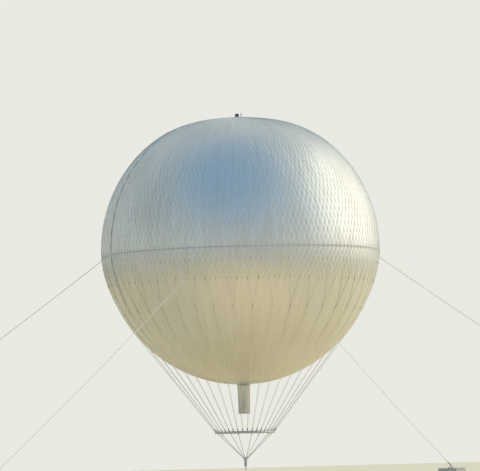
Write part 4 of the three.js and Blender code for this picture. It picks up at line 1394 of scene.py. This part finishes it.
def leg_path(leg_azimuth, eye_latitude):
    """A leg on the net, from the eye of the rope to the belt."""
    path = []
    for share in [i / LEG_STEPS for i in range(LEG_STEPS + 1)]:
        turn = LEG_AZIMUTHS[0] + share * (leg_azimuth - LEG_AZIMUTHS[0])
        path.append(skin_point(turn, eye_latitude + share * (LEG_TOP - eye_latitude), LEG_LIFT))
    return path


square_making = square_maker()
cream_rope = rope_finish("cream_mooring_rope", (0.97, 0.95, 0.85), (0.88, 0.84, 0.70), 0.003)
for side, (azimuth, eye_latitude) in MOORINGS.items():
    dressed_copy(f"anchor_block_{side}", f"block_{side}", concrete, "concrete", 0.015)
    dressed_copy(f"anchor_lug_{side}", f"lug_{side}", *zinc, 0.003)
    about = spun(azimuth)
    pin = Vector((0, -ANCHOR_DISTANCE, LUG_PIN_HEIGHT))
    eye = skin_point(LEG_AZIMUTHS[0], eye_latitude, LEG_LIFT)
    pull = (eye - pin - Vector((0, 0, 2 * SAG))).normalized()
    at_pin = about @ set_along(pin, Vector((pull.y, -pull.x, 0)).normalized(), pull)
    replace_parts(turnbuckle(at_pin).piece(f"turnbuckle_{side}", *zinc), f"rope_tensioner_{side}")
    eye_at = at_pin @ moved(0, 0, TURNBUCKLE_LENGTH - 0.004) @ spun(90, "X")
    Shape().hoop(0.020, 0.006, 12, 32, eye_at).piece(f"buckle_eye_{side}", *zinc)

    bolts = anchor_bolt(17, 3, 13, 16, 8, 34).plain_mesh("plate_bolts")
    foot = about @ pin
    turn = math.radians(azimuth) + math.atan2(-pull.x, pull.y)
    place = {"x": foot.x, "y": foot.y, "z": PLATE_TOP - 0.0005, "turn": turn, "spacing": LUG_BOLT_SPACING}
    on_root(square_making.makes(f"lug_bolts_{side}", galvanised, bolts, **place))

    straps = Shape()
    for leg_azimuth in LEG_AZIMUTHS:
        belt_strap(straps, leg_azimuth, about)
    straps.piece(f"leg_straps_{side}", pale_tape, "belt_webbing")

    path = [about @ point for point in sagging(pin + pull * (TURNBUCKLE_LENGTH + 0.028), eye)]
    sizes = {"radius": ROPE_RADIUS, "lay": 0.11, "step": 0.018, "points": 9}
    main_rope = laid_rope("main_rope", cream_rope, [path], **sizes)
    leg_paths = [leg_path(leg_azimuth, eye_latitude) for leg_azimuth in LEG_AZIMUTHS]
    leg_paths = [[about @ point for point in leg] for leg in leg_paths]
    legs = laid_rope("legs", cream_rope, leg_paths, radius=LEG_RADIUS, lay=0.09, step=0.015, points=9)
    thimble_at = at_pin @ moved(0, 0, TURNBUCKLE_LENGTH + 0.020) @ spun(90, "Y")
    Shape().hoop(0.024, 0.007, 12, 32, thimble_at).piece(f"rope_thimble_{side}", *zinc)
    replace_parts(joined(f"moored_rope_{side}", "mooring_rope", main_rope, legs), f"mooring_rope_{side}")
    serving = Shape()
    for first, second, end in ((path[0], path[1], 0.16), (path[-1], path[-2], 0.12)):
        along = (second - first).normalized()
        serving.tube([first + along * s for s in (0.005, end)], SERVING_RADIUS, 16)
    serving.piece(f"rope_serving_{side}", cream_rope, "mooring_rope")
